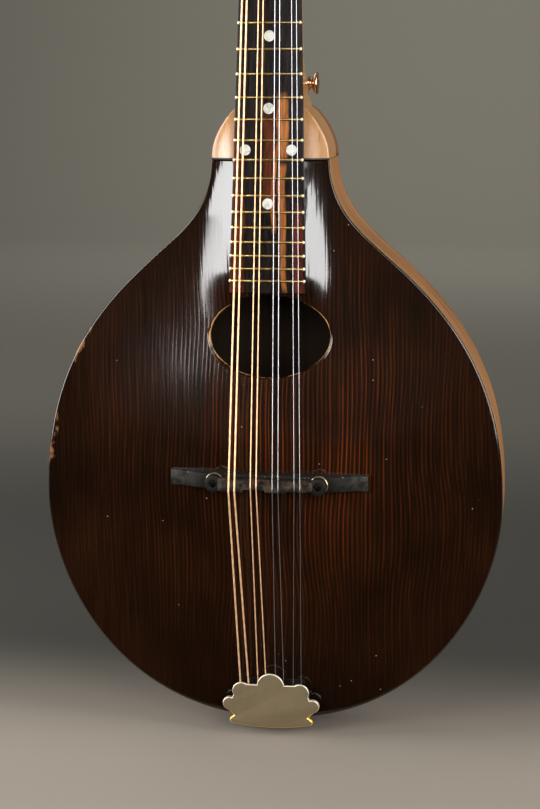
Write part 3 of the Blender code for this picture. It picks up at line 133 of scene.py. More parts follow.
def grain_fields(tree, place, *fields, rough=0.6):
    """Patterns drawn out along the grain: (cycles per metre along x, y and z, detail) each."""
    made = []
    for scale, detail in fields:
        drawn_out = add_node(tree, "Mapping", {"Scale": scale}, {0: place})
        noise = {"Scale": 1.0, "Detail": detail, "Roughness": rough}
        made.append(add_node(tree, "TexNoise", noise, {0: drawn_out}))
    return made


def make_object(name, form, materials, sharper=35):
    """One object from a form, smooth except at edges sharper than that angle."""
    mesh = bpy.data.meshes.new(name)
    form.to_mesh(mesh)
    form.free()
    for material in materials:
        mesh.materials.append(material)
    mesh.shade_smooth()
    mesh.set_sharp_from_angle(angle=radians(sharper))
    made = bpy.data.objects.new(name, mesh)
    bpy.context.scene.collection.objects.link(made)
    return made


def new_piece(name, form, materials, body, node=None, sharper=35):
    """A finished piece: the body it rides on and the node that it replaces."""
    piece = make_object(name, form, materials, sharper)
    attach(piece, body)
    if node:
        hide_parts(node)
    return piece


def chain(form, points, closed=False):
    """New vertices at these points and the edges from each to the next: (verts, edges)."""
    verts = [form.verts.new(point) for point in points]
    onward = verts[1:] + verts[:1] if closed else verts[1:]
    return verts, [form.edges.new(pair) for pair in zip(verts, onward)]


def verts_of(made):
    """The vertices among what an operator has made."""
    return [item for item in made["geom"] if isinstance(item, bmesh.types.BMVert)]


# Maple with spirit varnish: clear and glossy once, now satin. Its pores and fibres give
# lengthwise streaks 1 to 2 mm wide, and the colour is darker where dirt has stayed.
rib_maple, tree, shader, place = start_material("varnished_rib_maple", Roughness=0.46, IOR=1.45)
run = add_node(tree, "Attribute", attribute_name="run").outputs["Fac"]
depth = add_node(tree, "SeparateXYZ", None, {0: place}).outputs["Y"]
along = add_node(tree, "CombineXYZ", None, {0: run, 1: depth})
fibre, patch = grain_fields(tree, along, ((14, 620, 1), 5.0), ((9, 40, 1), 2.0))
contrast = add_node(tree, "MapRange", span(0.38, 0.62), {"Value": fibre})
wood = add_node(tree, "Mix", {6: "#5b371b", 7: "#9d6c3d"}, {0: contrast}, data_type="RGBA")
shade = add_node(tree, "MapRange", span(0.0, 1.0, 0.6, 1.3), {"Value": patch})
TINT = {"data_type": "RGBA", "blend_type": "MULTIPLY"}
toned = add_node(tree, "Mix", {0: 1.0}, {6: wood, 7: shade}, **TINT)
bump = add_node(tree, "Bump", {"Strength": 0.03, "Distance": 0.0002}, {"Height": fibre})
feed(shader, {"Base Color": toned, "Normal": bump})

for label, side in (("treble", 1), ("bass", -1)):
    form = bmesh.new()
    run_layer = form.verts.layers.float.new("run")
    seam = 0.15 * MM
    verts, edges = chain(form, [(side * max(x, seam), RIM_Y, z) for x, z in body_side(RIB_TOP)])
    walked = 0.0
    for before, vert in zip([verts[0]] + verts, verts):
        walked += (vert.co - before.co).length
        vert[run_layer] = walked
    moved = verts_of(bmesh.ops.extrude_edge_only(form, edges=edges))
    bmesh.ops.translate(form, verts=moved, vec=(0, BACK_Y - RIM_Y, 0))
    middle = Vector((0, 0, -ARCH_CENTRE))
    form.normal_update()
    if sum((f.calc_center_median() - middle).dot(f.normal) for f in form.faces) < 0:
        bmesh.ops.reverse_faces(form, faces=form.faces)
    bmesh.ops.solidify(form, geom=form.faces, thickness=RIB_THICKNESS)
    new_piece(f"side_{label}", form, [rib_maple], "instrument", f"rib_{label}")

# Inside of the body: spruce blocks, kerfed linings and one cross brace, sawn and left bare,
# brown with age and painted nearly black beyond that, as painted shade for the inside of the
# body. They are the solids of the model itself, and only show through the sound hole.


def draw_grain(shader, place, scale, detail, colours, bump=0.0, rough=0.6, height=0.2 * MM):
    """Grain in two colours, drawn out along the wood and a little raised: (fibre, wood)."""
    tree = shader.id_data
    (fibre,) = grain_fields(tree, place, (scale, detail), rough=rough)
    wood = add_node(tree, "Mix", dict(zip((6, 7), colours)), {0: fibre}, data_type="RGBA")
    feed(shader, {"Base Color": wood})
    if bump:
        raised = add_node(tree, "Bump", {"Strength": bump, "Distance": height}, {"Height": fibre})
        feed(shader, {"Normal": raised})
    return fibre, wood


def finish_nodes(names, material):
    """The model's own solids of these names take this material."""
    for name in names:
        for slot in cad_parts[name].material_slots:
            slot.material = material


# Sawn spruce: matt, with its rings showing as fine streaks that the saw has left rough. Both
# colours are painted very dark, painted shade for the inside of the body
spruce_painted_dark, tree, shader, place = start_material(
    "sawn_spruce_in_painted_shade", Roughness=0.9, Specular_IOR_Level=0.1
)
draw_grain(shader, place, (420, 60, 9), 3.0, ("#0f0a06", "#20160d"), 0.3, height=0.3 * MM)
finish_nodes(("neck_block", "tail_block", "top_lining", "back_lining", "cross_brace"), spruce_painted_dark)

# Back: two pieces of figured maple, joined down the middle, carved to a low arch and
# glued over the ribs. Its edge is rounded over, and the varnish is that of the ribs.
PLATE_EDGE = 3.0 * MM
BACK_ARCH = 11 * MM
TOP_ARCH = 11.5 * MM
CLEAR = 0.3 * MM


def body_rim(top, steps):
    """The whole outline below the level top: down the treble side, up the bass side, across."""
    treble = body_side(top)
    bass = [(-x, z) for x, z in treble[:-1]][::-1]
    width = treble[0][0]
    across = [(width * (2 * (k + 1) / steps - 1), top) for k in range(steps - 1)]
    return treble + bass + across


def reach_of(rim):
    """How far the outline lies from the arch's centre by bearing, and the same evened out."""
    pairs = sorted((np.arctan2(x, z + ARCH_CENTRE), hypot(x, z + ARCH_CENTRE)) for x, z in rim)
    bearings, exact = np.array(pairs).T
    turns = np.linspace(-pi, pi, 720, endpoint=False)
    fine = np.interp(turns, bearings, exact, period=2 * pi)
    weights = [exp(-((step / 24) ** 2)) for step in range(-60, 61)]
    even = sum(w * np.roll(fine, step) for step, w in zip(range(-60, 61), weights)) / sum(weights)
    return bearings, exact, turns, even


def share_of(x, z, reach):
    """0 at the arch's centre and 1 on the outline."""
    bearing = np.arctan2(x, z + ARCH_CENTRE)
    out = hypot(x, z + ARCH_CENTRE)
    exact = float(np.interp(bearing, reach[0], reach[1], period=2 * pi))
    even = float(np.interp(bearing, reach[2], reach[3], period=2 * pi))
    near = min(1.0, out / exact) ** 6
    return min(1.0, out / (even + (exact - even) * near))


def ease(share):
    """From 1 at share 0 down to 0 at share 1, level at both ends."""
    return (1 + cos(pi * min(1.0, max(0.0, share)))) / 2


def carved_form(rim, middle, cuts, height, reach):
    """The outer face of a carved plate: two loops bridged, cut into rings and set to height."""
    form = bmesh.new()
    loops = []
    for loop in (rim, middle):
        loops += chain(form, [(x, 0, z) for x, z in loop], closed=True)[1]
    spokes = bmesh.ops.bridge_loops(form, edges=loops)["edges"]
    bmesh.ops.subdivide_edges(form, edges=spokes, cuts=cuts)
    edge = form.verts.layers.float.new("edge")
    for vert in form.verts:
        vert[edge] = share_of(vert.co.x, vert.co.z, reach)
        vert.co.y = height(vert.co.x, vert.co.z)
    return form


def round_edges(form, edges, width, segments, clamp=False):
    """Rounds these edges over by that width."""
    bmesh.ops.bevel(
        form, geom=edges, offset=width, segments=segments, profile=0.5, affect="EDGES",
        material=-1, clamp_overlap=clamp,
    )


def face_outwards(form, outward):
    """Turns an open face round where it looks the wrong way along Y."""
    bmesh.ops.recalc_face_normals(form, faces=form.faces)
    form.normal_update()
    if sum(face.normal.y * face.calc_area() for face in form.faces) * outward < 0:
        bmesh.ops.reverse_faces(form, faces=form.faces)


def plate_form(form, outward):
    """Gives a carved face its thickness: slot 0 outside, 1 inside and 2 on its edges."""
    face_outwards(form, outward)
    bmesh.ops.solidify(form, geom=form.faces, thickness=PLATE_EDGE)
    form.normal_update()
    for face in form.faces:
        lean = face.normal.y * outward
        face.material_index = 0 if lean > 0.5 else 1 if lean < -0.5 else 2
    corners = [e for e in form.edges if {f.material_index for f in e.link_faces} == {0, 2}]
    round_edges(form, corners, 1.9 * MM, 6)
    form.normal_update()
    for face in form.faces:
        if face.material_index == 2 and face.normal.y * outward > 0.12:
            face.material_index = 0


back_rim = body_rim(SHOULDER, 12)
back_reach = reach_of(back_rim)


def back_y(x, z):
    """The back's outer face."""
    return BACK_Y + CLEAR + PLATE_EDGE + BACK_ARCH * ease(share_of(x, z, back_reach))


# The same varnished maple, now cut on the quarter: fibres run up the body, and the flame,
# a ripple in the fibres 7 to 10 mm apart, catches the light in bands across them. The
# varnish was shaded darker towards the edge.
back_maple, tree, shader, place = start_material(
    "varnished_back_maple", Roughness=0.3, IOR=1.5, Coat_Weight=0.5, Coat_Roughness=0.15
)
cut = add_node(tree, "SeparateXYZ", None, {0: place}).outputs
half = add_node(tree, "Math", None, {0: cut["X"]}, operation="ABSOLUTE")
booked = add_node(tree, "CombineXYZ", None, {0: half, 1: cut["Y"], 2: cut["Z"]})
wood = draw_grain(shader, booked, (700, 60, 16), 5.0, ("#6b4425", "#a9784a"), 0.08)[1]
ripple, patch = grain_fields(tree, booked, ((16, 16, 125), 2.0), ((14, 14, 9), 2.0))
flame = add_node(tree, "MapRange", span(0.3, 0.7, 0.62, 1.3), {"Value": ripple})
flamed = add_node(tree, "Mix", {0: 1.0}, {6: wood, 7: flame}, **TINT)
edge = add_node(tree, "Attribute", attribute_name="edge").outputs["Fac"]
rough_edge = add_node(tree, "Math", {1: 0.22}, {0: patch}, operation="MULTIPLY")
burst = add_node(tree, "Math", None, {0: edge, 1: rough_edge})
dark = add_node(tree, "MapRange", span(0.62, 1.12), {"Value": burst})
toned = add_node(tree, "Mix", {7: "#2c170b"}, {0: dark, 6: flamed}, data_type="RGBA")
seam = add_node(tree, "MapRange", span(0.00035, 0.0001, 0.0, 0.7), {"Value": half})
joined = add_node(tree, "Mix", {7: "#1b0f08"}, {0: seam, 6: toned}, data_type="RGBA")
feed(shader, {"Base Color": joined})

middle = [(0.06 * x, 0.06 * (z + ARCH_CENTRE) - ARCH_CENTRE) for x, z in back_rim]
form = carved_form(back_rim, middle, 40, back_y, back_reach)
hub = [edge for edge in form.edges if edge.is_boundary and edge.calc_length() < 0.9 * MM]
hub = [edge for edge in hub if abs(edge.verts[0].co.x) < 9 * MM]
cap = bmesh.ops.contextual_create(form, geom=hub)["faces"]
top = bmesh.ops.poke(form, faces=cap)["verts"][0]
top.co.y = back_y(top.co.x, top.co.z)
plate_form(form, 1)
# The strip that shows past the heel was varnished with it
for face in form.faces:
    if face.material_index == 1 and face.calc_center_median().z > -176 * MM:
        face.material_index = 2
# The inner face is painted dark, painted shade, like the spruce inside the body
finishes = [back_maple, spruce_painted_dark, rib_maple]
new_piece("carved_back", form, finishes, "instrument", "back")

# Soundboard: carved spruce with an oval hole, glued over the ribs and the brace. It rises
# along its middle to seat the fingerboard. Very dark brown stain, rubbed back so that the
# hard grain lines show red-brown, under a thick varnish worn at the edges.
HOLE_CENTRE = 272.5 * MM
HOLE_WIDTH, HOLE_HEIGHT = 67.5 * MM, 45.4 * MM
BOARD_END = 247.9 * MM
BOARD_LENGTH = 248.997 * MM
BOARD_WIDTHS = 29.1 * MM, 42.0 * MM
NECK_ANGLE = radians(5.35)
SLOPE = tan(NECK_ANGLE)
top_rim = body_rim(RIB_TOP, 20)
top_reach = reach_of(top_rim)
outer_x, outer_z = np.array(body_side(SHOULDER)).T


def outline_half_width(z):
    """Half the body's width at this height."""
    return float(np.interp(-z, -outer_z, outer_x))


def board_half_width(down):
    """Half the fingerboard's width at this distance below the nut."""
    at_nut, at_end = BOARD_WIDTHS
    return (at_nut + (at_end - at_nut) * down / BOARD_LENGTH) / 2


def top_y(x, z):
    """The soundboard's outer face: its arch, and the ridge that seats the fingerboard."""
    level = max(z, -BOARD_END)
    arch = ease(share_of(x, z, top_reach))
    seat = ease(share_of(0.0, level, top_reach))
    rise = RIM_Y - level * SLOPE - 0.5 * MM - CLEAR - PLATE_EDGE - TOP_ARCH * seat
    beyond = max(0.0, abs(x) - board_half_width(-level) + 0.7 * MM)
    room = outline_half_width(z) - board_half_width(-level) - MM
    spread = min(21 * MM, max(2 * MM, room))
    fall = max(0.0, 1 - beyond / spread) ** (1.1 + 0.9 * (spread / (21 * MM)) ** 2)
    fade = ease((12 * MM - BOARD_END - z) / (34 * MM))
    return RIM_Y - CLEAR - PLATE_EDGE - TOP_ARCH * arch - rise * fall * fade


# Spruce, quarter-sawn: annual rings 1.8 to 2.8 mm apart run up and down as thin wavy lines.
# The stain went nearly black and the rings show through as red-brown lines, strongest
# where the varnish is thin in the middle and lost in the shaded edge.
stained_spruce, tree, shader, place = start_material(
    "stained_varnished_spruce", Roughness=0.12, IOR=1.5
)
cut = add_node(tree, "SeparateXYZ", None, {0: place}).outputs
slow, quick, fibre, uneven, patch, rub = grain_fields(
    tree, place, ((8, 1, 9), 1.0), ((44, 1, 30), 1.0), ((1300, 1, 22), 3.0),
    ((430, 1, 5), 1.0), ((16, 1, 13), 2.0), ((150, 1, 60), 4.0),
)
bent = cut["X"]
for wander, reach in ((slow, 0.016), (quick, 0.0009)):
    shift = add_node(tree, "Math", {1: reach}, {0: wander}, operation="MULTIPLY")
    bent = add_node(tree, "Math", None, {0: bent, 1: shift})
spacing = {"Scale": 1 / 0.0023, "Randomness": 0.6}
lines = {"voronoi_dimensions": "1D", "feature": "DISTANCE_TO_EDGE"}
rings = add_node(tree, "TexVoronoi", spacing, {"W": bent}, **lines)
SMOOTH = {"interpolation_type": "SMOOTHSTEP"}
line = add_node(tree, "MapRange", span(0.3, 0.04), {"Value": rings}, **SMOOTH)
edge = add_node(tree, "Attribute", attribute_name="edge").outputs["Fac"]
# Where the lines show: what each share is read from, from and to what value, least and most
shares = [
    (fibre, 0.34, 0.68, 0.35, 1.0),
    (uneven, 0.34, 0.66, 0.15, 1.15),
    (patch, 0.32, 0.7, 0.18, 1.0),
    (edge, 1.0, 0.35, 0.12, 1.0),
    (cut["X"], -0.09, 0.05, 0.4, 1.0),
    (cut["Z"], -0.46, -0.3, 0.3, 1.0),
]
show = line
factors = []
for source, start, end, least, most in shares:
    factors.append(add_node(tree, "MapRange", span(start, end, least, most), {"Value": source}))
    show = add_node(tree, "Math", None, {0: show, 1: factors[-1]}, operation="MULTIPLY")
broken, _ring_tone, thin, *_rest = factors
clear = add_node(tree, "Math", None, {0: thin, 1: broken}, operation="MULTIPLY")
ground = add_node(tree, "Mix", {6: "#080402", 7: "#1c0d05"}, {0: clear}, data_type="RGBA")
lined = add_node(tree, "Mix", {7: "#5f280c"}, {0: show, 6: ground}, data_type="RGBA")
# Wear: the sleeve and the case have rubbed the bass edge through to tan wood
near_edge = add_node(tree, "MapRange", span(0.94, 0.985, 0.0, 0.28), {"Value": edge})
bass_side = add_node(tree, "MapRange", span(-0.09, -0.108), {"Value": cut["X"]})
upper = add_node(tree, "MapRange", span(-0.375, -0.33), {"Value": cut["Z"]})
rubbed_and_sheen = add_node(tree, "Math", None, {0: near_edge, 1: bass_side}, operation="MULTIPLY")
rubbed_and_sheen = add_node(tree, "Math", None, {0: rubbed_and_sheen, 1: upper}, operation="MULTIPLY")
rubbed_and_sheen = add_node(tree, "Math", None, {0: rubbed_and_sheen, 1: rub})
worn = add_node(tree, "MapRange", span(0.77, 0.85, 0.0, 0.8), {"Value": rubbed_and_sheen})
bared = add_node(tree, "Mix", {7: "#704d33"}, {0: worn, 6: lined}, data_type="RGBA")
# Dings: a few pale specks a quarter of a millimetre across, 15 to 40 mm apart
specks = add_node(tree, "TexVoronoi", {"Scale": 85.0, "Randomness": 1.0}, {"Vector": place})
ding = add_node(tree, "MapRange", span(0.035, 0.02, 0.0, 0.6), {"Value": specks})
dinged = add_node(tree, "Mix", {7: "#8c7a66"}, {0: ding, 6: bared}, data_type="RGBA")
# The stain has chipped off the hole's edge here and there, over 2 to 8 mm
to_unit = (2 / HOLE_WIDTH, 0, 2 / HOLE_HEIGHT)
oval = {"Location": (0, 0, HOLE_CENTRE * to_unit[2]), "Scale": to_unit}
unit = add_node(tree, "Mapping", oval, {"Vector": place})
ring = add_node(tree, "VectorMath", None, {0: unit}, operation="LENGTH")
brink = add_node(tree, "MapRange", span(1.045, 1.0), {"Value": ring})
ragged = {"Scale": 95.0, "Detail": 4.0, "Roughness": 0.7}
chips = add_node(tree, "TexNoise", ragged, {0: place})
chip = add_node(tree, "Math", None, {0: brink, 1: chips}, operation="MULTIPLY")
chipped = add_node(tree, "MapRange", span(0.4, 0.46, 0.0, 0.9), {"Value": chip})
rimmed = add_node(tree, "Mix", {7: "#b98a58"}, {0: chipped, 6: dinged}, data_type="RGBA")
dull = add_node(tree, "MapRange", span(0.3, 0.7, 0.07, 0.14), {"Value": fibre})
grain = add_node(tree, "Math", None, {0: line, 1: fibre})
bump = add_node(tree, "Bump", {"Strength": 0.05, "Distance": 0.0002}, {"Height": grain})
feed(shader, {"Base Color": rimmed, "Roughness": dull, "Normal": bump})

# The side of the plate was masked when the top was stained, so it is golden like the ribs
golden_edge, tree, shader, place = start_material("golden_spruce_edge", Roughness=0.35, IOR=1.5)
draw_grain(shader, place, (300, 300, 40), 3.0, ("#a8783b", "#dcae6c"))

hole = []
for x, z in top_rim:
    bearing = np.arctan2(x, z + HOLE_CENTRE)
    reach = hypot(sin(bearing) / HOLE_WIDTH, cos(bearing) / HOLE_HEIGHT) * 2
    hole.append((sin(bearing) / reach, cos(bearing) / reach - HOLE_CENTRE))
form = carved_form(top_rim, hole, 64, top_y, top_reach)
plate_form(form, -1)
# The hole's cut edge was stained with the face
for face in form.faces:
    middle = face.calc_center_median()
    in_hole = hypot(middle.x / HOLE_WIDTH, (middle.z + HOLE_CENTRE) / HOLE_HEIGHT) < 0.53
    if in_hole and face.material_index == 2:
        face.material_index = 0
# Inside, the plate is painted dark, painted shade, like the spruce inside the body
finishes = [stained_spruce, spruce_painted_dark, golden_edge]
new_piece("carved_top", form, finishes, "instrument", "soundboard")

# Neck, heel and headstock: one piece of mahogany, its heel let into the body with a
# dovetail. The heel's shoulders stand level with the soundboard on both sides of the
# fingerboard. Varnished like the ribs and rubbed thin.
NUT_LINE = 5.4 * MM
HEEL_START = -108 * MM
neck_frame = Matrix.Rotation(-NECK_ANGLE, 4, "X")
head_frame = Matrix.Rotation(radians(-18.35), 4, "X")


def neck_ring(z):
    """One level section of the neck: flat in front, round behind, square at the heel."""
    share = min(1.0, max(0.0, (HEEL_START - z) / (HEEL_START - SHOULDER)))
    board = board_half_width(-z / cos(NECK_ANGLE))
    half = outline_half_width(z) if z < SHOULDER else board
    front = z * SLOPE
    shaft = 15.5 * MM + 0.017 * max(0.0, -z) + 2 * MM * exp(-((z / (9 * MM)) ** 2))
    depth = shaft + (BACK_Y - CLEAR - front - shaft) * share**2.2
    power = 2 / (2.3 + 9.7 * share**3)
    drop = 0.0
    if z < SHOULDER:
        fall = RIM_Y - z * SLOPE - CLEAR - PLATE_EDGE
        drop = fall * min(1.0, (half - outline_half_width(SHOULDER)) / (8 * MM))
    flat = min(half - 0.4 * MM, board - 0.4 * MM)
    side = [
        (flat + (half - flat) * t, front + drop * (1 - cos(pi * t)) / 2)
        for t in (0.0, 0.2, 0.4, 0.6, 0.8)
    ]
    side.append((half, front + drop))
    for step in range(1, 16):
        angle = pi / 2 * step / 15
        y = front + drop + (depth - drop) * sin(angle) ** power
        side.append((half * abs(cos(angle)) ** power, y))
    side[-1] = (0.0, side[-1][1])
    return [(x, y, z) for x, y in side] + [(-x, y, z) for x, y in side[:-1][::-1]]


def ring_form(rings):
    """A closed skin: the first ring of points extruded on to each of the next, ends capped."""
    form = bmesh.new()
    number = form.verts.layers.int.new("number")
    verts, edges = chain(form, rings[0], closed=True)
    for k, vert in enumerate(verts):
        vert[number] = k
    for ring in rings[1:]:
        fresh = verts_of(bmesh.ops.extrude_edge_only(form, edges=edges))
        for vert in fresh:
            vert.co = ring[vert[number]]
        level = set(fresh)
        joined = [e for v in fresh for e in v.link_edges if level.issuperset(e.verts)]
        edges = list(dict.fromkeys(joined))
    ends = [edge for edge in form.edges if edge.is_boundary]
    bmesh.ops.holes_fill(form, edges=ends, sides=0)
    bmesh.ops.recalc_face_normals(form, faces=form.faces)
    return form


def board_form(outline, front, back):
    """A flat board: its outline (x, z) laid at the front face and extruded to the back."""
    form = bmesh.new()
    face = form.faces.new([form.verts.new((x, front, z)) for x, z in outline])
    moved = verts_of(bmesh.ops.extrude_face_region(form, geom=[face]))
    bmesh.ops.translate(form, verts=moved, vec=(0, back - front, 0))
    bmesh.ops.recalc_face_normals(form, faces=form.faces)
    return form


def soften(form, width):
    """Rounds every edge of a form that is sharper than 50 degrees."""
    edges = [e for e in form.edges if e.is_manifold and e.calc_face_angle() > radians(50)]
    round_edges(form, edges, width, 3, clamp=True)
    return form


def head_outline(start):
    """The headstock seen square on: a flare above the nut, straight sides and a round top."""
    flare = [(14.5, start), (14.5, start + 0.35 * (27 - start))]
    flare += [(33.5, start + 0.62 * (27 - start)), (33.5, 27)]
    crown = [(29, 125), (26.97, 135.05), (9.86, 140), (0, 140)]
    side = curve_points(flare, 14) + curve_points(crown, 14)
    return side + [(-x, z) for x, z in side[:-1][::-1]]


# Mahogany with thin varnish: straight brown grain, open pores and slow changes of tone
mahogany, tree, shader, place = start_material(
    "varnished_mahogany", Roughness=0.3, IOR=1.5, Coat_Weight=0.3, Coat_Roughness=0.18
)
wood = draw_grain(shader, place, (650, 650, 18), 5.0, ("#7a5028", "#ae7d44"), 0.08)[1]
# Pores: dark dashes 0.2 mm wide and a few millimetres long
patch, pores = grain_fields(tree, place, ((26, 26, 12), 2.0), ((1900, 1900, 130), 1.0))
shade = add_node(tree, "MapRange", span(0.0, 1.0, 0.6, 1.25), {"Value": patch})
toned = add_node(tree, "Mix", {0: 1.0}, {6: wood, 7: shade}, **TINT)
pore = add_node(tree, "MapRange", span(0.36, 0.3, 0.0, 0.55), {"Value": pores})
pored = add_node(tree, "Mix", {7: "#3a2212"}, {0: pore, 6: toned}, data_type="RGBA")
feed(shader, {"Base Color": pored})

levels = [NUT_LINE, 3 * MM, 0.0] + [-k * 3.2 * MM for k in range(1, 34)]
levels += [HEEL_START - k * 1.985 * MM for k in range(20)]
levels += [SHOULDER, -148.3 * MM, -149.2 * MM, -150.5 * MM, -152 * MM]
levels += [-154 * MM - k * 2.2 * MM for k in range(9)] + [-173.2 * MM, -175.5 * MM]
form = ring_form([neck_ring(z) for z in levels])
shoulders = [
    edge
    for edge in form.edges
    if edge.is_manifold
    and edge.calc_face_angle() > radians(50)
    and max(v.co.z for v in edge.verts) < -149 * MM
    and min(v.co.z for v in edge.verts) > -175.6 * MM
    and abs(edge.verts[0].co.z - edge.verts[1].co.z) > 0.5 * MM
]
round_edges(form, shoulders, 0.8 * MM, 4)
core = soften(board_form(head_outline(-5), 1.8 * MM, 16.3 * MM), 0.8 * MM)
bmesh.ops.transform(core, matrix=head_frame, verts=core.verts)
neck = new_piece("neck_and_heel", form, [mahogany], "instrument", "neck")
headstock = make_object("headstock_core", core, [mahogany])
glue = neck.modifiers.new("one_piece", "BOOLEAN")
glue.operation = "UNION"
glue.solver = "EXACT"
glue.object = headstock
bpy.context.view_layer.update()
whole = bpy.data.meshes.new_from_object(neck.evaluated_get(bpy.context.evaluated_depsgraph_get()))
neck.modifiers.clear()
neck.data = whole
bpy.data.objects.remove(headstock)

# Joint strip: thin, black and let in where the soundboard meets the heel, across both
# shoulders. Oiled ebony is close-grained and nearly black, with a low sheen.
ebony, tree, shader, place = start_material(
    "oiled_ebony", Roughness=0.4, IOR=1.45, Specular_IOR_Level=0.3
)
draw_grain(shader, place, (900, 900, 26), 4.0, ("#0d0b09", "#292420"), 0.12)
strip = []
for z in (-175.0 * MM, RIB_TOP):
    row = [point for point in neck_ring(max(z, -175.5 * MM)) if point[1] < RIM_Y - 2.6 * MM]
    face = [(x * 1.001, y - 0.06 * MM, z) for x, y, _z in sorted(p for p in row if p[0] != 0)]
    strip.append(face + [(x, y + 0.7 * MM, z) for x, y, _z in face[::-1]])
new_piece("joint_strip", ring_form(strip), [ebony], "instrument")

# Headstock face: a veneer 1.5 mm thick, glued over the mahogany, dyed black and polished.
# Its lower edge meets the nut.
veneer = soften(board_form(head_outline(6.3), 0.0, 1.5 * MM), 0.35 * MM)
bmesh.ops.transform(veneer, matrix=head_frame, verts=veneer.verts)
black_veneer, tree, shader, place = start_material(
    "black_polished_veneer", Roughness=0.22, IOR=1.5, Coat_Weight=0.6, Coat_Roughness=0.1
)
draw_grain(shader, place, (700, 700, 20), 3.0, ("#0c0b0a", "#1d1917"), 0.05)
new_piece("headstock_face", veneer, [black_veneer], "instrument", "headstock_veneer")

# Fingerboard: one ebony board, planed flat, glued to the neck and oiled. It is black with a
# tan streak of sapwood and two red-brown ones running down it.
BOARD_FACE = -5.0 * MM
streaked_ebony, tree, shader, place = start_material(
    "streaked_ebony", Roughness=0.32, IOR=1.4, Specular_IOR_Level=0.1
)
cut = add_node(tree, "SeparateXYZ", None, {0: place}).outputs
(fibre,) = grain_fields(tree, place, ((900, 900, 26), 4.0))
(sway,) = grain_fields(tree, place, ((60, 60, 45), 2.0), rough=0.5)
grained = add_node(tree, "MapRange", span(0.35, 0.65), {"Value": fibre})
sway = add_node(tree, "MapRange", span(0.0, 1.0, -0.0022, 0.0022), {"Value": sway})
bent = add_node(tree, "Math", None, {0: cut["X"], 1: sway})
colour = add_node(tree, "Mix", {6: "#040303", 7: "#1b1613"}, {0: grained}, data_type="RGBA")
# Place across at the top and bottom, half width at the top and bottom, where it starts,
# where it is full and where it ends (millimetres), then its dark and light colours
board_streaks = [
    ((0.3, 0.3), (2.9, 2.4), (-148, -156, -203), ("#2a120a", "#4c2110")),
    ((-16.5, -17.0), (3.0, 4.4), (-152, -170, -251), ("#1e0d08", "#4a1d0f")),
    ((16.4, 17.0), (1.6, 2.6), (-196, -206, -251), ("#1e0d08", "#4a1d0f")),
    ((3.4, 3.0), (0.8, 1.6), (-166, -172, -215), ("#4d2812", "#8a4f26")),
    ((-4.0, -3.0), (1.2, 1.0), (-20, -60, -150), ("#1c120c", "#38241a")),
    ((7.2, 7.8), (3.1, 3.1), (-139, -145, -176), ("#5f371b", "#8f5a30")),
    ((6.8, 9.2), (2.9, 1.2), (-177, -180, -247), ("#55311a", "#834f26")),
]
for across, widths, (start, full, end), (dark, light) in board_streaks:
    centre, half = (
        add_node(tree, "MapRange", span(-0.148, -0.248, *ends), {"Value": cut["Z"]})
        for ends in ([value * MM for value in pair] for pair in (across, widths))
    )
    gap = add_node(tree, "Math", None, {0: bent, 1: centre}, operation="SUBTRACT")
    gap = add_node(tree, "Math", None, {0: gap}, operation="ABSOLUTE")
    gap = add_node(tree, "Math", None, {0: gap, 1: half}, operation="DIVIDE")
    show = add_node(tree, "MapRange", span(1.2, 0.8), {"Value": gap})
    for first, last in ((start, full), (end - 1, end + 3)):
        kept = add_node(tree, "MapRange", span(first * MM, last * MM), {"Value": cut["Z"]})
        show = add_node(tree, "Math", None, {0: show, 1: kept}, operation="MULTIPLY")
    sapwood = add_node(tree, "Mix", {6: dark, 7: light}, {0: grained}, data_type="RGBA")
    colour = add_node(tree, "Mix", None, {0: show, 6: colour, 7: sapwood}, data_type="RGBA")
bump = add_node(tree, "Bump", {"Strength": 0.12, "Distance": 0.0002}, {"Height": fibre})
feed(shader, {"Base Color": colour, "Normal": bump})
ends = [(BOARD_WIDTHS[0] / 2, -CLEAR), (BOARD_WIDTHS[1] / 2, -BOARD_LENGTH)]
ends += [(-x, z) for x, z in ends[::-1]]
form = soften(board_form(ends, BOARD_FACE, -CLEAR), 0.3 * MM)
bmesh.ops.transform(form, matrix=neck_frame, verts=form.verts)
new_piece("ebony_board", form, [streaked_ebony], "instrument", "fingerboard")

# Frets: twenty bars of brass wire, pressed into sawn slots and filed to a bead at each end,
# then levelled, so the crowns are brighter than the flanks.
SCALE_LENGTH = 354 * MM


def clouded_metal(name, colours, scale, detail, roughness):
    """A metal whose tarnish drifts between two colours: (material, tree, shader, cloud)."""
    material, tree, shader, place = start_material(name, Metallic=1.0, Roughness=roughness)
    cloud = add_node(tree, "TexNoise", {"Scale": scale, "Detail": detail}, {0: place})
    tone = add_node(tree, "Mix", dict(zip((6, 7), colours)), {0: cloud}, data_type="RGBA")
    feed(shader, {"Base Color": tone})
    return material, tree, shader, cloud


# Drawn brass, handled for years: clouds of tarnish 2 mm across, duller where they are dark
brass_wire, tree, shader, cloud = clouded_metal(
    "drawn_brass_wire", ("#8a6c38", "#dcbc7c"), 420.0, 3.0, 0.3
)
dull = add_node(tree, "MapRange", span(0.0, 1.0, 0.2, 0.45), {"Value": cloud})
feed(shader, {"Roughness": dull})
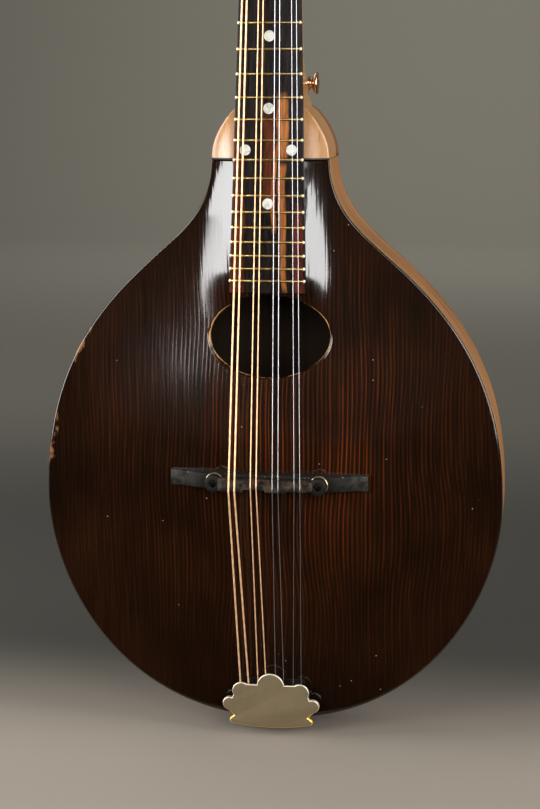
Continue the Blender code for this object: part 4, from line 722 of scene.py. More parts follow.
# The filed ends are matt, and painted a pale cream as a painted highlight that shows from every side
bead_brass_painted_highlight = clouded_metal("brass_end_painted_highlight", ("#f2e2b4", "#fff4d2"), 900.0, 1.0, 0.6)[0]
form = bmesh.new()
for number in range(1, 21):
    below = SCALE_LENGTH * (1 - 2 ** (-number / 12))
    half = board_half_width(below) - 0.85 * MM
    made = bmesh.ops.create_uvsphere(form, u_segments=14, v_segments=9, radius=1.0)["verts"]
    bmesh.ops.rotate(form, verts=made, cent=(0, 0, 0), matrix=Matrix.Rotation(pi / 2, 3, "Y"))
    bmesh.ops.scale(form, verts=made, vec=(0.7 * MM, 1.0 * MM, 0.75 * MM))
    for vert in made:
        vert.co.x += half if vert.co.x > 0 else -half
    for side in (-1, 1):
        bead = bmesh.ops.create_uvsphere(form, u_segments=12, v_segments=8, radius=0.95 * MM)["verts"]
        bmesh.ops.translate(form, verts=bead, vec=(side * (half + 0.2 * MM), 0, 0))
        # The beads take the pale painted highlight
        for face in {face for vert in bead for face in vert.link_faces}:
            face.material_index = 1
        made += bead
    bmesh.ops.translate(form, verts=made, vec=(0, BOARD_FACE, -below))
bmesh.ops.transform(form, matrix=neck_frame, verts=form.verts)
finishes = [brass_wire, bead_brass_painted_highlight]
new_piece("fretwire_bars", form, finishes, "instrument", "fingerboard", 60)

# Position marks: discs of mother-of-pearl let in flush behind the 5th, 7th, 10th, 12th and
# 15th frets and sanded with the board. The shell's layers show as soft clouds.
pearl, tree, shader, place = start_material("sanded_mother_of_pearl", Roughness=0.4, IOR=1.5)
cloud = add_node(tree, "TexNoise", {"Scale": 330.0, "Detail": 3.0, "Distortion": 1.2}, {0: place})
layer = add_node(tree, "MapRange", span(0.35, 0.65), {"Value": cloud})
shell = add_node(tree, "Mix", {6: "#7f8581", 7: "#b9b6ab"}, {0: layer}, data_type="RGBA")
feed(shader, {"Base Color": shell})
form = bmesh.new()
for x, below in ((0, 80.9), (0, 110.7), (0, 149.4), (-12.7, 171.7), (12.7, 171.7), (0, 200.7)):
    made = bmesh.ops.create_cone(
        form, cap_ends=True, segments=36, radius1=2.95 * MM, radius2=2.95 * MM, depth=0.4 * MM
    )["verts"]
    bmesh.ops.rotate(form, verts=made, cent=(0, 0, 0), matrix=Matrix.Rotation(pi / 2, 3, "X"))
    bmesh.ops.translate(form, verts=made, vec=(x * MM, BOARD_FACE + 0.18 * MM, -below * MM))
bmesh.ops.transform(form, matrix=neck_frame, verts=form.verts)
new_piece("pearl_dots", form, [pearl], "instrument")

# Nut: a block of bone, sawn, filed to a fall towards the headstock and slotted for each
# string. It is the model's own solid, with its edges eased. Its pores run across.
bone, tree, shader, place = start_material("filed_bone", Roughness=0.38, IOR=1.54)
draw_grain(shader, place, (160, 900, 900), 3.0, ("#cdbf9b", "#ece4cc"), rough=0.5)


def ease_nodes(names, width):
    """The model's own solids of these names get their edges rounded by this much."""
    for name in names:
        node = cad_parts[name]
        weld = node.modifiers.new("weld", "WELD")
        weld.merge_threshold = 0.005 * MM
        bevel = node.modifiers.new("eased", "BEVEL")
        bevel.width = width
        bevel.segments = 2
        bevel.limit_method = "ANGLE"
        bevel.angle_limit = radians(40)


finish_nodes(("nut",), bone)
ease_nodes(("nut",), 0.2 * MM)

# Tuning machines: two nickel-plated brass plates with folded lugs, each with four worms
# that turn brass gears. They are screwed to the back of the headstock.
WORM_Y = 20.65 * MM
WORM_RISE = 6.656 * MM
POST_X = 19 * MM
machines = [(side, k, k + 1 if side == -1 else k + 5) for side in (-1, 1) for k in range(4)]
backwards = Matrix.Rotation(-pi / 2, 4, "X")


def post_z(k):
    """How far above the nut the posts of row k stand."""
    return (32 + 23 * k) * MM


def stem_frame(side, k):
    """A post's place: its foot on the headstock's face, its axis pointing to the back."""
    return head_frame @ Matrix.Translation((side * POST_X, 0, post_z(k))) @ backwards


# Nickel plate: pale and warm, cloudy from handling, and duller where it is dark
nickel, tree, shader, place = start_material("plated_nickel", Metallic=1.0, Roughness=0.3)
cloud = add_node(tree, "TexNoise", {"Scale": 160.0, "Detail": 4.0}, {0: place})
tone = add_node(tree, "MapRange", span(0.3, 0.7), {"Value": cloud})
plating = add_node(tree, "Mix", {6: "#9a9284", 7: "#c9c4ba"}, {0: tone}, data_type="RGBA")
dull = add_node(tree, "MapRange", span(0.0, 1.0, 0.42, 0.2), {"Value": tone})
feed(shader, {"Base Color": plating, "Roughness": dull})
# Cut brass gears, unlacquered and tarnished
gear_brass = clouded_metal("cut_gear_brass", ("#7d6230", "#c7a25a"), 300.0, 3.0, 0.32)[0]
plates = ("tuner_plate_bass", "tuner_plate_treble")
finish_nodes(plates, nickel)
ease_nodes(plates, 0.15 * MM)
gears = [f"tuner_gear_{number}" for _side, _k, number in machines]
finish_nodes(gears, gear_brass)
ease_nodes(gears, 0.08 * MM)


def turned_form(profile, steps, place, form=None):
    """A closed shape turned about +Z from (radius, height) points, set in place by a matrix."""
    form = bmesh.new() if form is None else form
    before = set(form.verts)
    verts, edges = chain(form, [(radius * MM, 0, height * MM) for radius, height in profile])
    bmesh.ops.spin(
        form, geom=verts + edges, axis=(0, 0, 1), cent=(0, 0, 0), angle=2 * pi, steps=steps,
        use_merge=True,
    )
    fresh = [vert for vert in form.verts if vert not in before]
    bmesh.ops.remove_doubles(form, verts=fresh, dist=0.002 * MM)
    fresh = [vert for vert in form.verts if vert not in before]
    faces = list(dict.fromkeys(face for vert in fresh for face in vert.link_faces))
    bmesh.ops.recalc_face_normals(form, faces=faces)
    bmesh.ops.transform(form, matrix=place, verts=fresh)
    return form


def cut_form(form, **plane):
    """Cuts every face of a form along a plane."""
    everything = form.verts[:] + form.edges[:] + form.faces[:]
    bmesh.ops.bisect_plane(form, geom=everything, **plane)


def screw_form(radius, height, place):
    """A slotted pan head about +Z with its seat at height 0, radius and height in mm."""
    profile = [(0, 0), (1, 0), (1, 0.4), (0.92, 0.72), (0.68, 0.93), (0.35, 1), (0, 1)]
    form = turned_form([(radius * r, height * h) for r, h in profile], 24, Matrix())
    half = 0.13 * radius * MM
    for side in (-1, 1):
        cut_form(form, plane_co=(side * half, 0, 0), plane_no=(1, 0, 0))
    form.normal_update()
    slot = [
        f for f in form.faces if abs(f.calc_center_median().x) < half and f.normal.z > 0.5
    ]
    sunk = verts_of(bmesh.ops.extrude_face_region(form, geom=slot))
    bmesh.ops.translate(form, verts=sunk, vec=(0, 0, -0.4 * height * MM))
    bmesh.ops.transform(form, matrix=place, verts=form.verts)
    return form


post_profile = [
    (0, -13), (2.2, -13), (2.75, -12.8), (3, -12.2), (3, -9.4), (2.5, -8.9), (2.5, -4.4),
    (3, -3.9), (3, 19.15), (1.9, 19.15), (1.9, 22.35), (0, 22.35),
]
for side, k, number in machines:
    stem = stem_frame(side, k)
    body = f"post_{number}"
    form = turned_form(post_profile, 28, stem)
    new_piece(f"turned_post_{number}", form, [nickel], body, f"tuner_post_{number}")
    form = screw_form(2.7, 1.3, stem @ Matrix.Translation((0, 0, 21.9 * MM)))
    new_piece(f"gear_screw_{number}", form, [nickel], body)

# Ferrules: a spun ring of nickel-plated brass pressed into the face round each post. It
# keeps the post from wearing its hole.
form = bmesh.new()
ring = [(3.4, 0.3), (3.4, -0.6), (3.6, -0.9), (4.3, -0.8), (4.9, -0.3), (5.1, 0.3), (3.4, 0.3)]
for side, k, number in machines:
    turned_form(ring, 32, stem_frame(side, k), form)
new_piece("post_ferrules", form, [nickel], "instrument")

# Plate screws: five slotted pan heads, nickel-plated, hold each plate to the headstock. No
# two slots stand at the same angle.
for side, label in ((-1, "bass"), (1, "treble")):
    for count, z in enumerate((25.4, 45.8, 68.8, 91.8, 112.4)):
        seat = head_frame @ Matrix.Translation((side * POST_X, 17.55 * MM, z * MM)) @ backwards
        turn = Matrix.Rotation(radians(37 * count + 20 * side), 4, "Z")
        form = screw_form(1.5, 0.9, seat @ turn)
        name = f"plate_screw_{label}_{count + 1}"
        new_piece(name, form, [nickel], "instrument")

# Keys: a steel shaft with a cut worm, and an oval button of ivoroid, a celluloid made in
# thin layers to look like ivory, pressed on over a brass collar and polished.
worm_steel = clouded_metal("cut_worm_steel", ("#77726a", "#b7b3aa"), 500.0, 2.0, 0.34)[0]
ivoroid, tree, shader, place = start_material(
    "polished_ivoroid", Roughness=0.25, IOR=1.5, Coat_Weight=0.3, Coat_Roughness=0.1
)
draw_grain(shader, place, (70, 900, 140), 3.0, ("#c3a873", "#e9dab3"), rough=0.5)
collar = [(1.5, 33.9), (2.1, 33.9), (2.5, 34.4), (2.5, 35.2), (2.2, 36.4), (1.5, 36.4), (1.5, 33.9)]
for side, k, number in machines:
    key, body = f"tuner_key_{number}", f"key_{number}"
    form = bmesh.new()
    form.from_mesh(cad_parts[key].data)
    bmesh.ops.remove_doubles(form, verts=form.verts, dist=0.001 * MM)
    cut_form(form, plane_co=(side * 36 * MM, 0, 0), plane_no=(side, 0, 0), clear_outer=True)
    cut_ends = [edge for edge in form.edges if edge.is_boundary]
    bmesh.ops.holes_fill(form, edges=cut_ends, sides=0)
    axle = head_frame @ Matrix.Translation((0, WORM_Y, post_z(k) + WORM_RISE))
    turned_form(collar, 20, axle @ Matrix.Rotation(side * pi / 2, 4, "Y"), form)
    new_piece(f"worm_shaft_{number}", form, [worm_steel], body, key)
    form = bmesh.new()
    bmesh.ops.create_uvsphere(form, u_segments=28, v_segments=18, radius=1.0)
    bmesh.ops.rotate(form, verts=form.verts, cent=(0, 0, 0), matrix=Matrix.Rotation(pi / 2, 3, "Y"))
    for vert in form.verts:
        vert.co.y = (1 if vert.co.y > 0 else -1) * abs(vert.co.y) ** 0.85
    bmesh.ops.scale(form, verts=form.verts, vec=(6 * MM, 3 * MM, 7 * MM))
    bmesh.ops.translate(form, verts=form.verts, vec=(side * 41.5 * MM, 0, 0))
    bmesh.ops.transform(form, matrix=axle, verts=form.verts)
    new_piece(f"key_button_{number}", form, [ivoroid], body, key, 60)

# Bridge base: ebony, its foot scraped to fit the arch and its wings swept down and thin.
# The wings' outer parts are pale grey in clouds, partly wear from handling and partly a painted
# highlight, and dust lies along the top edge.
BRIDGE_PLACE = 352.6 * MM
BRIDGE_HALF = 55.5 * MM
BRIDGE_POST_X = 29.1 * MM
worn_ebony, tree, shader, place = start_material(
    "worn_ebony", Roughness=0.5, IOR=1.4, Specular_IOR_Level=0.1
)
black = ("#070605", "#1d1a16")
wood = draw_grain(shader, place, (60, 900, 900), 4.0, black, 0.2, rough=0.65)[1]
cut = add_node(tree, "SeparateXYZ", None, {0: place}).outputs
reach = add_node(tree, "Math", None, {0: cut["X"]}, operation="ABSOLUTE")
outer = add_node(tree, "MapRange", span(0.036, 0.056, 0.0, 0.5), {"Value": reach})
cloud = add_node(tree, "TexNoise", {"Scale": 260.0, "Detail": 4.0}, {0: place})
scuffs_and_sheen = add_node(tree, "MapRange", span(0.42, 0.66), {"Value": cloud})
rubbed_and_sheen = add_node(tree, "Math", None, {0: outer, 1: scuffs_and_sheen}, operation="MULTIPLY")
# Pale grey on the wings' outer parts: wear, and a painted highlight
pale = add_node(tree, "Mix", {7: "#403e39"}, {0: rubbed_and_sheen, 6: wood}, data_type="RGBA")
dust = add_node(tree, "TexVoronoi", {"Scale": 420.0, "Randomness": 1.0}, {"Vector": place})
speck = add_node(tree, "MapRange", span(0.13, 0.07, 0.0, 0.75), {"Value": dust})
# The upper edge lies 4.4 mm above the bridge's middle line
upper = add_node(tree, "MapRange", span(-0.3506, -0.3488), {"Value": cut["Z"]})
seen = add_node(tree, "Math", None, {0: speck, 1: upper}, operation="MULTIPLY")
dusty = add_node(tree, "Mix", {7: "#9b8672"}, {0: seen, 6: pale}, data_type="RGBA")
feed(shader, {"Base Color": dusty})


def bridge_z(x):
    """The bridge's middle line, which stands half a degree askew."""
    return -BRIDGE_PLACE - x * tan(radians(0.5))


rings = []
tip_rise = RIM_Y - top_y(BRIDGE_HALF, -BRIDGE_PLACE) + 3.5 * MM
half = 4.4 * MM
for x in np.linspace(-BRIDGE_HALF, BRIDGE_HALF, 75):
    z = bridge_z(x)
    crown = RIM_Y - tip_rise - (20 * MM - tip_rise) * ease((abs(x) - 34 * MM) / (21.5 * MM))
    foot = [z + t * half for t in (-1.0, -0.5, 0.0, 0.5, 1.0)]
    foot = [(x, top_y(x, level) - 0.05 * MM, level) for level in foot]
    rings.append(foot + [(x, crown, z + half), (x, crown, z - half)])
form = ring_form(rings)
form.normal_update()
upper_edges = []
for edge in form.edges:
    turned = edge.is_manifold and edge.calc_face_angle() > radians(50)
    raised = all(vert.co.y < top_y(vert.co.x, vert.co.z) - 1.5 * MM for vert in edge.verts)
    if turned and raised:
        upper_edges.append(edge)
round_edges(form, upper_edges, 0.8 * MM, 3)
new_piece("bridge_foot", form, [worn_ebony], "instrument", "bridge_base", 40)

# Bridge posts and thumbwheels: threaded brass rod screwed into the foot, gone dark, with a
# drilled end and its thread at its real pitch of 0.79 mm. On each turns a brass wheel,
# turned and then knurled round the rim, with a thin coat of tarnish.
dark_brass = clouded_metal("darkened_brass_rod", ("#0e0c09", "#241e15"), 700.0, 2.0, 0.5)[0]
wheel_brass = clouded_metal("knurled_brass", ("#a58b58", "#eddcae"), 350.0, 3.0, 0.28)[0]
forwards = Matrix.Rotation(pi / 2, 4, "X")
thread = [(1.45 if step % 2 else 1.75, 16.2 + 0.397 * step) for step in range(28)]
rod = [(0, 16)] + thread + [(1.7, 27.3), (1.4, 27.5), (1.0, 27.5), (1.0, 25.2), (0, 24.8)]
disc = [(1.85, 21.3), (4.9, 21.3), (5.2, 21.6), (5.2, 23.0), (4.9, 23.3), (1.85, 23.3), (1.85, 21.3)]
bridge_posts = []
for label, side in (("bass", -1), ("treble", 1)):
    x = side * BRIDGE_POST_X
    axis = Matrix.Translation((x, RIM_Y, bridge_z(x))) @ forwards
    bridge_posts.append(axis)
    form = turned_form(rod, 24, axis)
    node = f"bridge_post_{label}"
    new_piece(f"threaded_post_{label}", form, [dark_brass], "instrument", node)
    form = turned_form(disc, 120, Matrix())
    for vert in form.verts:
        bearing = np.arctan2(vert.co.y, vert.co.x)
        if hypot(vert.co.x, vert.co.y) > 5.1 * MM and round(bearing / (pi / 60)) % 2:
            vert.co.xy *= 0.975
    bmesh.ops.transform(form, matrix=axis, verts=form.verts)
    body, node = f"wheel_{label}", f"bridge_wheel_{label}"
    new_piece(f"knurled_wheel_{label}", form, [wheel_brass], body, node, 25)

# Saddle: ebony, sawn and filed. Its crest is stepped back and forth so that each pair of
# strings sounds in tune, and the filed facets have worn brown. A round ear at each end
# drops over its post.
saddle_ebony, tree, shader, place = start_material(
    "filed_ebony", Roughness=0.5, IOR=1.4, Specular_IOR_Level=0.15
)
black = ("#060505", "#161310")
wood = draw_grain(shader, place, (90, 700, 700), 4.0, black, 0.35, rough=0.65)[1]
cloud = add_node(tree, "TexNoise", {"Scale": 190.0, "Detail": 2.0}, {0: place})
facet = add_node(tree, "Attribute", attribute_name="facet").outputs["Fac"]
rubbed_and_sheen = add_node(tree, "MapRange", span(0.45, 0.65, 0.0, 0.45), {"Value": cloud})
shown = add_node(tree, "Math", None, {0: facet, 1: rubbed_and_sheen}, operation="MULTIPLY")
browned = add_node(tree, "Mix", {7: "#4b3b2c"}, {0: shown, 6: wood}, data_type="RGBA")
feed(shader, {"Base Color": browned})

CREST_BACK = (3.1, 0.5, 1.7, 0.9)
CREST_RISE = 31.0
places = [(-26.3, 0, 28.6), (-24.6, 0, 30.4), (-23.2, 0, CREST_RISE)]
for course in range(4):
    for t in (0.3, 0.8, 6.05, 11.3, 11.8):
        rise = CREST_RISE - 0.25 * (t in (0.3, 11.8))
        places.append((-24.2 + 12.1 * course + t, course, rise))
places += [(23.2, 3, CREST_RISE), (24.6, 3, 30.4), (26.3, 3, 28.6)]
low, ear = RIM_Y - 23.6 * MM, RIM_Y - 28.2 * MM
rings = []
for across, course, rise in sorted(set(places)):
    x, top = across * MM, RIM_Y - rise * MM
    z = bridge_z(x)
    back = min(3.5, CREST_BACK[course] + 1.5) * MM
    ring = [(low, 3.5 * MM), (ear, 3.4 * MM), (top, 3.0 * MM - back), (top, -back)]
    rings.append([(x, y, z + step) for y, step in ring + [(low, -3.5 * MM)]])
form = ring_form(rings)
form.normal_update()
ridges = [
    edge
    for edge in form.edges
    if edge.is_manifold
    and edge.calc_face_angle() > radians(25)
    and abs(edge.verts[0].co.x - edge.verts[1].co.x) > 0.2 * MM
]
round_edges(form, ridges, 0.3 * MM, 2)
facets = form.verts.layers.float.new("facet")
for vert in form.verts:
    vert[facets] = float(vert.co.y < RIM_Y - 27.5 * MM)
ear_ring = [
    (2.0, 23.6), (4.6, 23.6), (4.9, 23.9), (4.9, 27.3), (4.65, 27.95), (4.1, 28.2),
    (2.3, 28.2), (2.0, 27.9), (2.0, 23.6),
]
for axis in bridge_posts:
    turned_form(ear_ring, 40, axis, form)
new_piece("stepped_saddle", form, [saddle_ebony], "saddle", "bridge_saddle", 40)

# Tailpiece: a stamped plate bent over the tail, with a hook for each string, and a cover
# that slides over it. Both are nickel-plated brass and the cover's face is brushed. Its rolled
# edge is painted pale, and gold towards the foot: brass where the plating has worn off, and a painted
# highlight.
# The plate is painted nearly black: a painted shadow for the shade the cover casts over it
plate_painted_shadow = clouded_metal("nickel_plate_painted_shadow", ("#15120e", "#2b261f"), 190.0, 4.0, 0.5)[0]
finish_nodes(("tailpiece_base",), plate_painted_shadow)
ease_nodes(("tailpiece_base",), 0.15 * MM)
cover_nickel, tree, shader, place = start_material(
    "brushed_nickel_cover", Metallic=1.0, Roughness=0.58
)
(brushing,) = grain_fields(tree, place, ((2600, 60, 60), 2.0), rough=0.5)
cloud = add_node(tree, "TexNoise", {"Scale": 75.0, "Detail": 4.0}, {0: place})
pair = {6: brushing.outputs["Color"], 7: cloud.outputs["Color"]}
tone = add_node(tree, "Mix", {0: 0.5}, pair, data_type="RGBA")
plating = add_node(tree, "Mix", {6: "#6f6049", 7: "#918267"}, {0: tone}, data_type="RGBA")
# rim: pale painted highlight along the rolled edge, and gold towards the foot with the worn plating
rim = add_node(tree, "Attribute", attribute_name="rim").outputs["Fac"]
edged = add_node(tree, "MapRange", span(0.0, 0.3), {"Value": rim})
bright = add_node(tree, "Mix", {7: "#c9c0ae"}, {0: edged, 6: plating}, data_type="RGBA")
gold_glint_share = add_node(tree, "MapRange", span(0.35, 0.9), {"Value": rim})
gold_rim_and_glint = add_node(tree, "Mix", {7: "#ffcf52"}, {0: gold_glint_share, 6: bright}, data_type="RGBA")
polish = add_node(tree, "MapRange", span(0.0, 1.0, 0.58, 0.5), {"Value": rim})
bump = add_node(tree, "Bump", {"Strength": 0.06, "Distance": 0.0002}, {"Height": brushing})
feed(shader, {"Base Color": gold_rim_and_glint, "Roughness": polish, "Normal": bump})

# Lobes of the cover's edge: centre and radius in millimetres, first and last bearing
LOBES = [
    (0.0, -473.6, 7.9, 90, 8, 18),
    (16.8, -476.8, 5.3, 125, -28, 20),
    (23.8, -484.8, 4.0, 112, -75, 20),
    (21.4, -492.0, 0.0, 0, 0, 1),
    (22.0, -494.9, 1.9, 62, -72, 10),
]
half_edge = []
for centre_x, centre_z, radius, first, last, steps in LOBES:
    for bearing in np.radians(np.linspace(first, last, steps)):
        half_edge.append((centre_x + radius * cos(bearing), centre_z + radius * sin(bearing)))
half_edge += [(22 * t, -498.9 + 2.2 * t * t) for t in (0.85, 0.68, 0.5, 0.34, 0.17, 0.0)]
edge_points = half_edge + [(-x, z) for x, z in half_edge[1:-1][::-1]]


def cover_y(z):
    """The cover's flat face: 11.4 mm above the ribs at its top and 8.2 mm at its foot."""
    return RIM_Y - (8.2 * MM + 3.2 * MM * (z + 498.9 * MM) / (33.2 * MM))


form = bmesh.new()
rim_verts = [form.verts.new((x * MM, cover_y(z * MM), z * MM)) for x, z in edge_points]
face = form.faces.new(rim_verts)
form.normal_update()
if face.normal.y > 0:
    face.normal_flip()
corner_edges = list(face.edges)
for vert in verts_of(bmesh.ops.extrude_edge_only(form, edges=corner_edges)):
    levels = [-496.7 * MM, -494.5 * MM, -482.1 * MM, -476.8 * MM]
    vert.co.y += float(np.interp(vert.co.z, levels, [7.0 * MM, 2.4 * MM, 2.4 * MM, 1.0 * MM]))
face_outwards(form, -1)
round_edges(form, corner_edges, 1.0 * MM, 6, clamp=True)
bmesh.ops.solidify(form, geom=form.faces, thickness=0.8 * MM)
# The rolled edge's share of painted highlight and worn brass, most at the foot
rim_glint_and_wear = form.verts.layers.float.new("rim")
for vert in form.verts:
    below_face = vert.co.y - cover_y(vert.co.z)
    low_share = float(np.interp(vert.co.z, [-494 * MM, -488 * MM, -480 * MM], [1.0, 0.6, 0.3]))
    vert[rim_glint_and_wear] = low_share if 0.04 * MM < below_face else 0.0
finishes = [cover_nickel]
new_piece("scalloped_cover", form, finishes, "cover", "tailpiece_cover", 30)

# Tail screws: three slotted screws, nickel-plated, hold the plate to the tail block. Two
# stand side by side near the top's edge, and one farther back.
TAIL_Y = RIM_Y + 21 * MM
downwards = Matrix.Rotation(pi, 4, "X")
for count, (x, depth) in enumerate(((-10.667, 10.5), (10.667, 10.5), (0.0, 31.667))):
    seat = Matrix.Translation((x * MM, RIM_Y + depth * MM, -496.2 * MM)) @ downwards
    form = screw_form(2.4, 1.7, seat @ Matrix.Rotation(radians(50 * count + 15), 4, "Z"))
    name, node = f"tail_screw_head_{count + 1}", f"tailpiece_screw_{count + 1}"
    new_piece(name, form, [nickel], "instrument", node)

# End pin: ebony, turned, oiled and pushed into the tail block. A strap hangs on its neck,
# behind the button.
pin = [
    (0, 477.5), (3, 477.5), (3, 496.3), (5.1, 496.3), (5.2, 496.9), (4.4, 497.6), (3.5, 498.6),
    (3.4, 499.2), (3.9, 500.1), (5.2, 500.8), (6.0, 501.3), (6.0, 501.7), (5.6, 502.3),
    (4.6, 502.7), (2.5, 502.8), (0, 502.8),
]
form = turned_form(pin, 40, Matrix.Translation((0, TAIL_Y, 0)) @ downwards)
new_piece("turned_end_pin", form, [ebony], "instrument", "end_pin", 50)

# Strap button: copper-coloured brass, turned with a narrow waist and a flared disc, polished
# by the strap, and screwed to the treble side of the heel.
copper = clouded_metal("polished_copper_brass", ("#b07e58", "#e2bd9c"), 280.0, 3.0, 0.2)[0]
knob = [
    (0, 18.0), (3.9, 18.0), (3.8, 18.6), (3.1, 19.0), (2.8, 19.5), (2.9, 20.0), (3.4, 20.5),
    (4.6, 21.1), (5.8, 21.9), (6.2, 22.4), (6.2, 22.9), (5.8, 23.3), (4.4, 23.6), (1.6, 23.67),
    (1.2, 23.3), (0, 23.3),
]
socket = Matrix.Translation((0, TAIL_Y, -135.2 * MM)) @ Matrix.Rotation(pi / 2, 4, "Y")
form = turned_form(knob, 40, socket)
new_piece("flared_strap_knob", form, [copper], "instrument", "strap_button", 50)

# Strings: four pairs. The two low pairs are steel cores wound with bronze wire, and the two
# high pairs are plain steel. Each runs from its hook over the saddle and the nut, and is
# wound on its post. The winding is drawn at 0.9 mm a turn; the real 0.25 mm can't show.
HOOK_Y = top_y(0.0, -470 * MM) - 1.8 * MM
WIRE_FACE = -6.7 * MM
COIL_MIDDLE = -6.6 * MM
POST_RADIUS = 2.5 * MM
bronze_wound, tree, shader, place = start_material("wound_bronze_wire", Metallic=1.0, Roughness=0.6)
winding = {"Scale": 55.0, "Distortion": 0.0}
wave = add_node(tree, "TexWave", winding, {"Vector": place}, bands_direction="Z").outputs["Fac"]
bronze = add_node(tree, "Mix", {6: "#e3b68e", 7: "#efc9a1"}, {0: wave}, data_type="RGBA")
bump = add_node(tree, "Bump", {"Strength": 0.03, "Distance": 0.0001}, {"Height": wave})
feed(shader, {"Base Color": bronze, "Normal": bump})
# Drawn steel, wiped after playing: bright, with only a little drift in its tone
plain_steel = clouded_metal("drawn_steel_wire", ("#a3a2a5", "#bdbcc0"), 60.0, 1.0, 0.38)[0]


def string_form(path, radius):
    """A round wire along straight runs between these points."""
    rings = []
    for k, point in enumerate(path):
        ahead = (path[min(k + 1, len(path) - 1)] - path[max(k - 1, 0)]).normalized()
        across = ahead.cross(Vector((0, 1, 0))).normalized()
        rise = across.cross(ahead)
        turns = [2 * pi * step / 10 for step in range(10)]
        rings.append([point + radius * (across * cos(a) + rise * sin(a)) for a in turns])
    return ring_form(rings)


for k in range(8):
    course, pair = divmod(k, 2)
    radius = (0.5, 0.33, 0.19, 0.14)[course] * MM
    side, row = (-1, k) if k < 4 else (1, 7 - k)
    tuner = row + 1 if side == -1 else row + 5
    finish = bronze_wound if course < 2 else plain_steel
    # Across at the hook, the saddle and the nut: between pairs, and between a pair's strings
    tail_x, saddle_x, nut_x = (
        ((course - 1.5) * pairs + (2 * pair - 1) * apart) * MM
        for pairs, apart in ((9.9, 2.4), (12.1, 1.6), (7.85, 1.2))
    )
    hook = Vector((tail_x, HOOK_Y - radius, -484.1 * MM))
    crest_y = RIM_Y - CREST_RISE * MM - 0.6 * radius
    crest = Vector((saddle_x, crest_y, bridge_z(saddle_x) - CREST_BACK[course] * MM))
    nut_low = neck_frame @ Vector((nut_x, WIRE_FACE, 0))
    nut_high = neck_frame @ Vector((nut_x, WIRE_FACE, 4.5 * MM))
    coil_x = side * (POST_X - POST_RADIUS - radius)
    post_end = head_frame @ Vector((coil_x, COIL_MIDDLE, post_z(row)))
    label = f"{'gdae'[course]}{pair + 1}"
    runs = (("playing", [crest, nut_low, nut_high, post_end], nut_low), ("tail", [hook, crest], hook))
    for part, path, start in runs:
        wire = make_object(f"wire_{label}_{part}", string_form(path, radius), [finish], 60)
        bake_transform(wire)
        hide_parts(f"string_{label}")
    # The turns on the post, laid from the face upwards
    form = bmesh.new()
    bmesh.ops.create_circle(form, cap_ends=True, segments=8, radius=radius)
    bmesh.ops.rotate(form, verts=form.verts, cent=(0, 0, 0), matrix=Matrix.Rotation(pi / 2, 3, "X"))
    pitch = 2.1 * radius
    turns = min(6, max(3, int(3.4 * MM / pitch)))
    bmesh.ops.translate(form, verts=form.verts, vec=(POST_RADIUS + radius, 0, COIL_MIDDLE))
    bmesh.ops.spin(
        form, geom=form.verts[:] + form.edges[:] + form.faces[:], axis=(0, 0, 1), cent=(0, 0, 0),
        dvec=(0, 0, pitch / 20), angle=2 * pi * turns, steps=20 * turns,
    )
    bmesh.ops.remove_doubles(form, verts=form.verts, dist=0.001 * MM)
    bmesh.ops.recalc_face_normals(form, faces=form.faces)
    half_turn = Matrix.Rotation(pi if side == 1 else 0.0, 4, "Z")
    shift = Matrix.Translation((0, 0, -turns * pitch / 2))
    bmesh.ops.transform(form, matrix=stem_frame(side, row) @ shift @ half_turn, verts=form.verts)
    new_piece(f"wire_{label}_coil", form, [finish], f"post_{tuner}", sharper=60)

# Studio: a pale paper sweep, with painted shade darkening its colour behind the object, soft
# lamps in front whose light glances off the varnish beside the fingerboard, and a camera
# where the photograph was taken from.
FLOOR_Z = -503.5 * MM
paper, tree, shader, place = start_material("matt_paper_painted_shade", Roughness=0.95, IOR=1.4)
reach = add_node(tree, "SeparateXYZ", None, {0: place}).outputs["Y"]
# Painted shade: darker from just behind the object, a little paler again farther back
away = add_node(tree, "MapRange", span(-0.08, 0.16), {"Value": reach}, **SMOOTH)
farther = add_node(tree, "MapRange", span(0.45, 1.2), {"Value": reach}, **SMOOTH)
shaded = add_node(tree, "Mix", {6: "#7f776c", 7: "#302e28"}, {0: away}, data_type="RGBA")
graded = add_node(tree, "Mix", {7: "#605d54"}, {0: farther, 6: shaded}, data_type="RGBA")
feed(shader, {"Base Color": graded})
# The paper's bend, from the floor up to the wall: radius and how far back it starts, metres
BEND, BEND_START = 1.2, 3.0
profile = [(-1.7, 0.0), (-0.2, 0.0), (0.6, 0.0), (1.6, 0.0), (BEND_START, 0.0)]
for degrees in range(10, 91, 10):
    angle = radians(degrees)
    profile.append((BEND_START + BEND * sin(angle), BEND - BEND * cos(angle)))
profile.append((BEND_START + BEND, 3.0))
form = bmesh.new()
verts, edges = chain(form, [(-4, y, FLOOR_Z + z) for y, z in profile])
moved = verts_of(bmesh.ops.extrude_edge_only(form, edges=edges))
bmesh.ops.translate(form, verts=moved, vec=(8, 0, 0))
bmesh.ops.recalc_face_normals(form, faces=form.faces)
make_object("paper_sweep", form, [paper])

# A black card laid on the paper keeps it out of the varnish's reflection, as in a studio
card_black, tree, shader, place = start_material(
    "matt_black_card", Roughness=1.0, Specular_IOR_Level=0.0
)
shader.inputs["Base Color"].default_value = (0, 0, 0, 1)
form = bmesh.new()
bmesh.ops.create_grid(form, x_segments=1, y_segments=1, size=0.5)
bmesh.ops.scale(form, verts=form.verts, vec=(8, 1.6, 1))
bmesh.ops.translate(form, verts=form.verts, vec=(0, -0.845, FLOOR_Z + 0.5 * MM))
card = make_object("black_card", form, [card_black])
card.visible_camera = False
card.visible_diffuse = False
card.visible_shadow = False

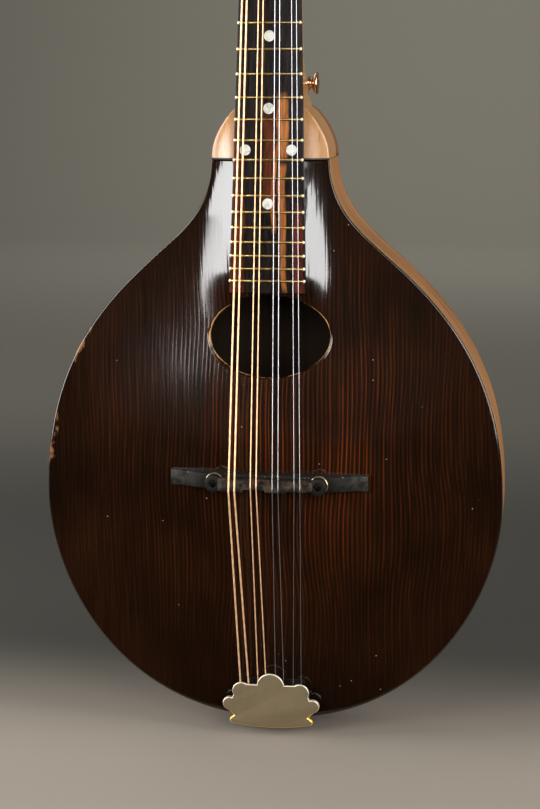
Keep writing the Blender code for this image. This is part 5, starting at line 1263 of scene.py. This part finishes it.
# Name, place, point it faces, width, height and power in watts
lamps = [
    ("key_lamp", (-1.06, -1.27, 0.115), (0, 0, 0.1), 0.88, 0.72, 37),
    ("side_lamp", (0.88, -1.41, 0.04), (0.02, 0, 0.04), 0.57, 0.74, 22),
    ("heel_lamp", (0.38, -1.71, 0.31), (0.02, 0, -0.16), 0.58, 0.6, 8),
    ("right_edge_lamp", (1.4, -0.7, 0.3), (0.1, 0, -0.25), 0.35, 1.5, 16),
    ("left_edge_lamp", (-1.5, -0.22, 0.12), (-0.1, 0, -0.25), 0.8, 1.2, 26),
    ("rim_lamp", (1.7, -0.15, 0.15), (0, 0, -0.3), 0.8, 1.0, 15),
    ("back_lamp", (-1.1, 1.0, 0.75), (0, 0, -0.3), 0.9, 0.9, 6),
    ("wall_lamp", (0, 2.2, 1.3), (0, 4.2, 0.1), 1.6, 0.6, 60),
]
for name, spot, aim, width, height, power in lamps:
    light = bpy.data.lights.new(name, "AREA")
    light.shape = "RECTANGLE"
    light.size = width
    light.size_y = height
    light.energy = power
    lamp = bpy.data.objects.new(name, light)
    lamp.location = spot
    lamp.rotation_euler = (Vector(aim) - Vector(spot)).to_track_quat("-Z", "Y").to_euler()
    lamp.visible_camera = False
    bpy.context.scene.collection.objects.link(lamp)

# The room is darker in front of the object, where the camera stands, than behind it
world = bpy.data.worlds.new("studio_room")
world.use_nodes = True
tree = world.node_tree
look = add_node(tree, "TexCoord").outputs["Generated"]
ahead = add_node(tree, "SeparateXYZ", None, {0: look}).outputs["Y"]
level = add_node(tree, "MapRange", span(-0.5, 0.4, 0.05, 0.32), {"Value": ahead})
backdrop = tree.nodes["Background"]
feed(backdrop, {"Strength": level})
backdrop.inputs["Color"].default_value = linear("#fffaf2")
bpy.context.scene.world = world

# Camera: an 85 mm lens on a frame 36 mm high, with its place and turn from the photograph
lens = bpy.data.cameras.new("camera")
lens.lens = 85
lens.sensor_fit = "VERTICAL"
lens.sensor_height = 36
camera = bpy.data.objects.new("camera", lens)
camera.location = (0.152189, -1.051374, -0.122664)
yaw, pitch, roll = 0.146265451, 0.178324535, -0.00390118684
behind = Vector((sin(yaw) * cos(pitch), -cos(yaw) * cos(pitch), sin(pitch)))
level_right = Vector((cos(yaw), sin(yaw), 0))
level_up = behind.cross(level_right)
right = level_right * cos(roll) + level_up * sin(roll)
up = level_up * cos(roll) - level_right * sin(roll)
camera.rotation_euler = Matrix((right, up, behind)).transposed().to_euler()
bpy.context.scene.collection.objects.link(camera)
bpy.context.scene.camera = camera
bpy.context.scene.view_settings.view_transform = "Standard"
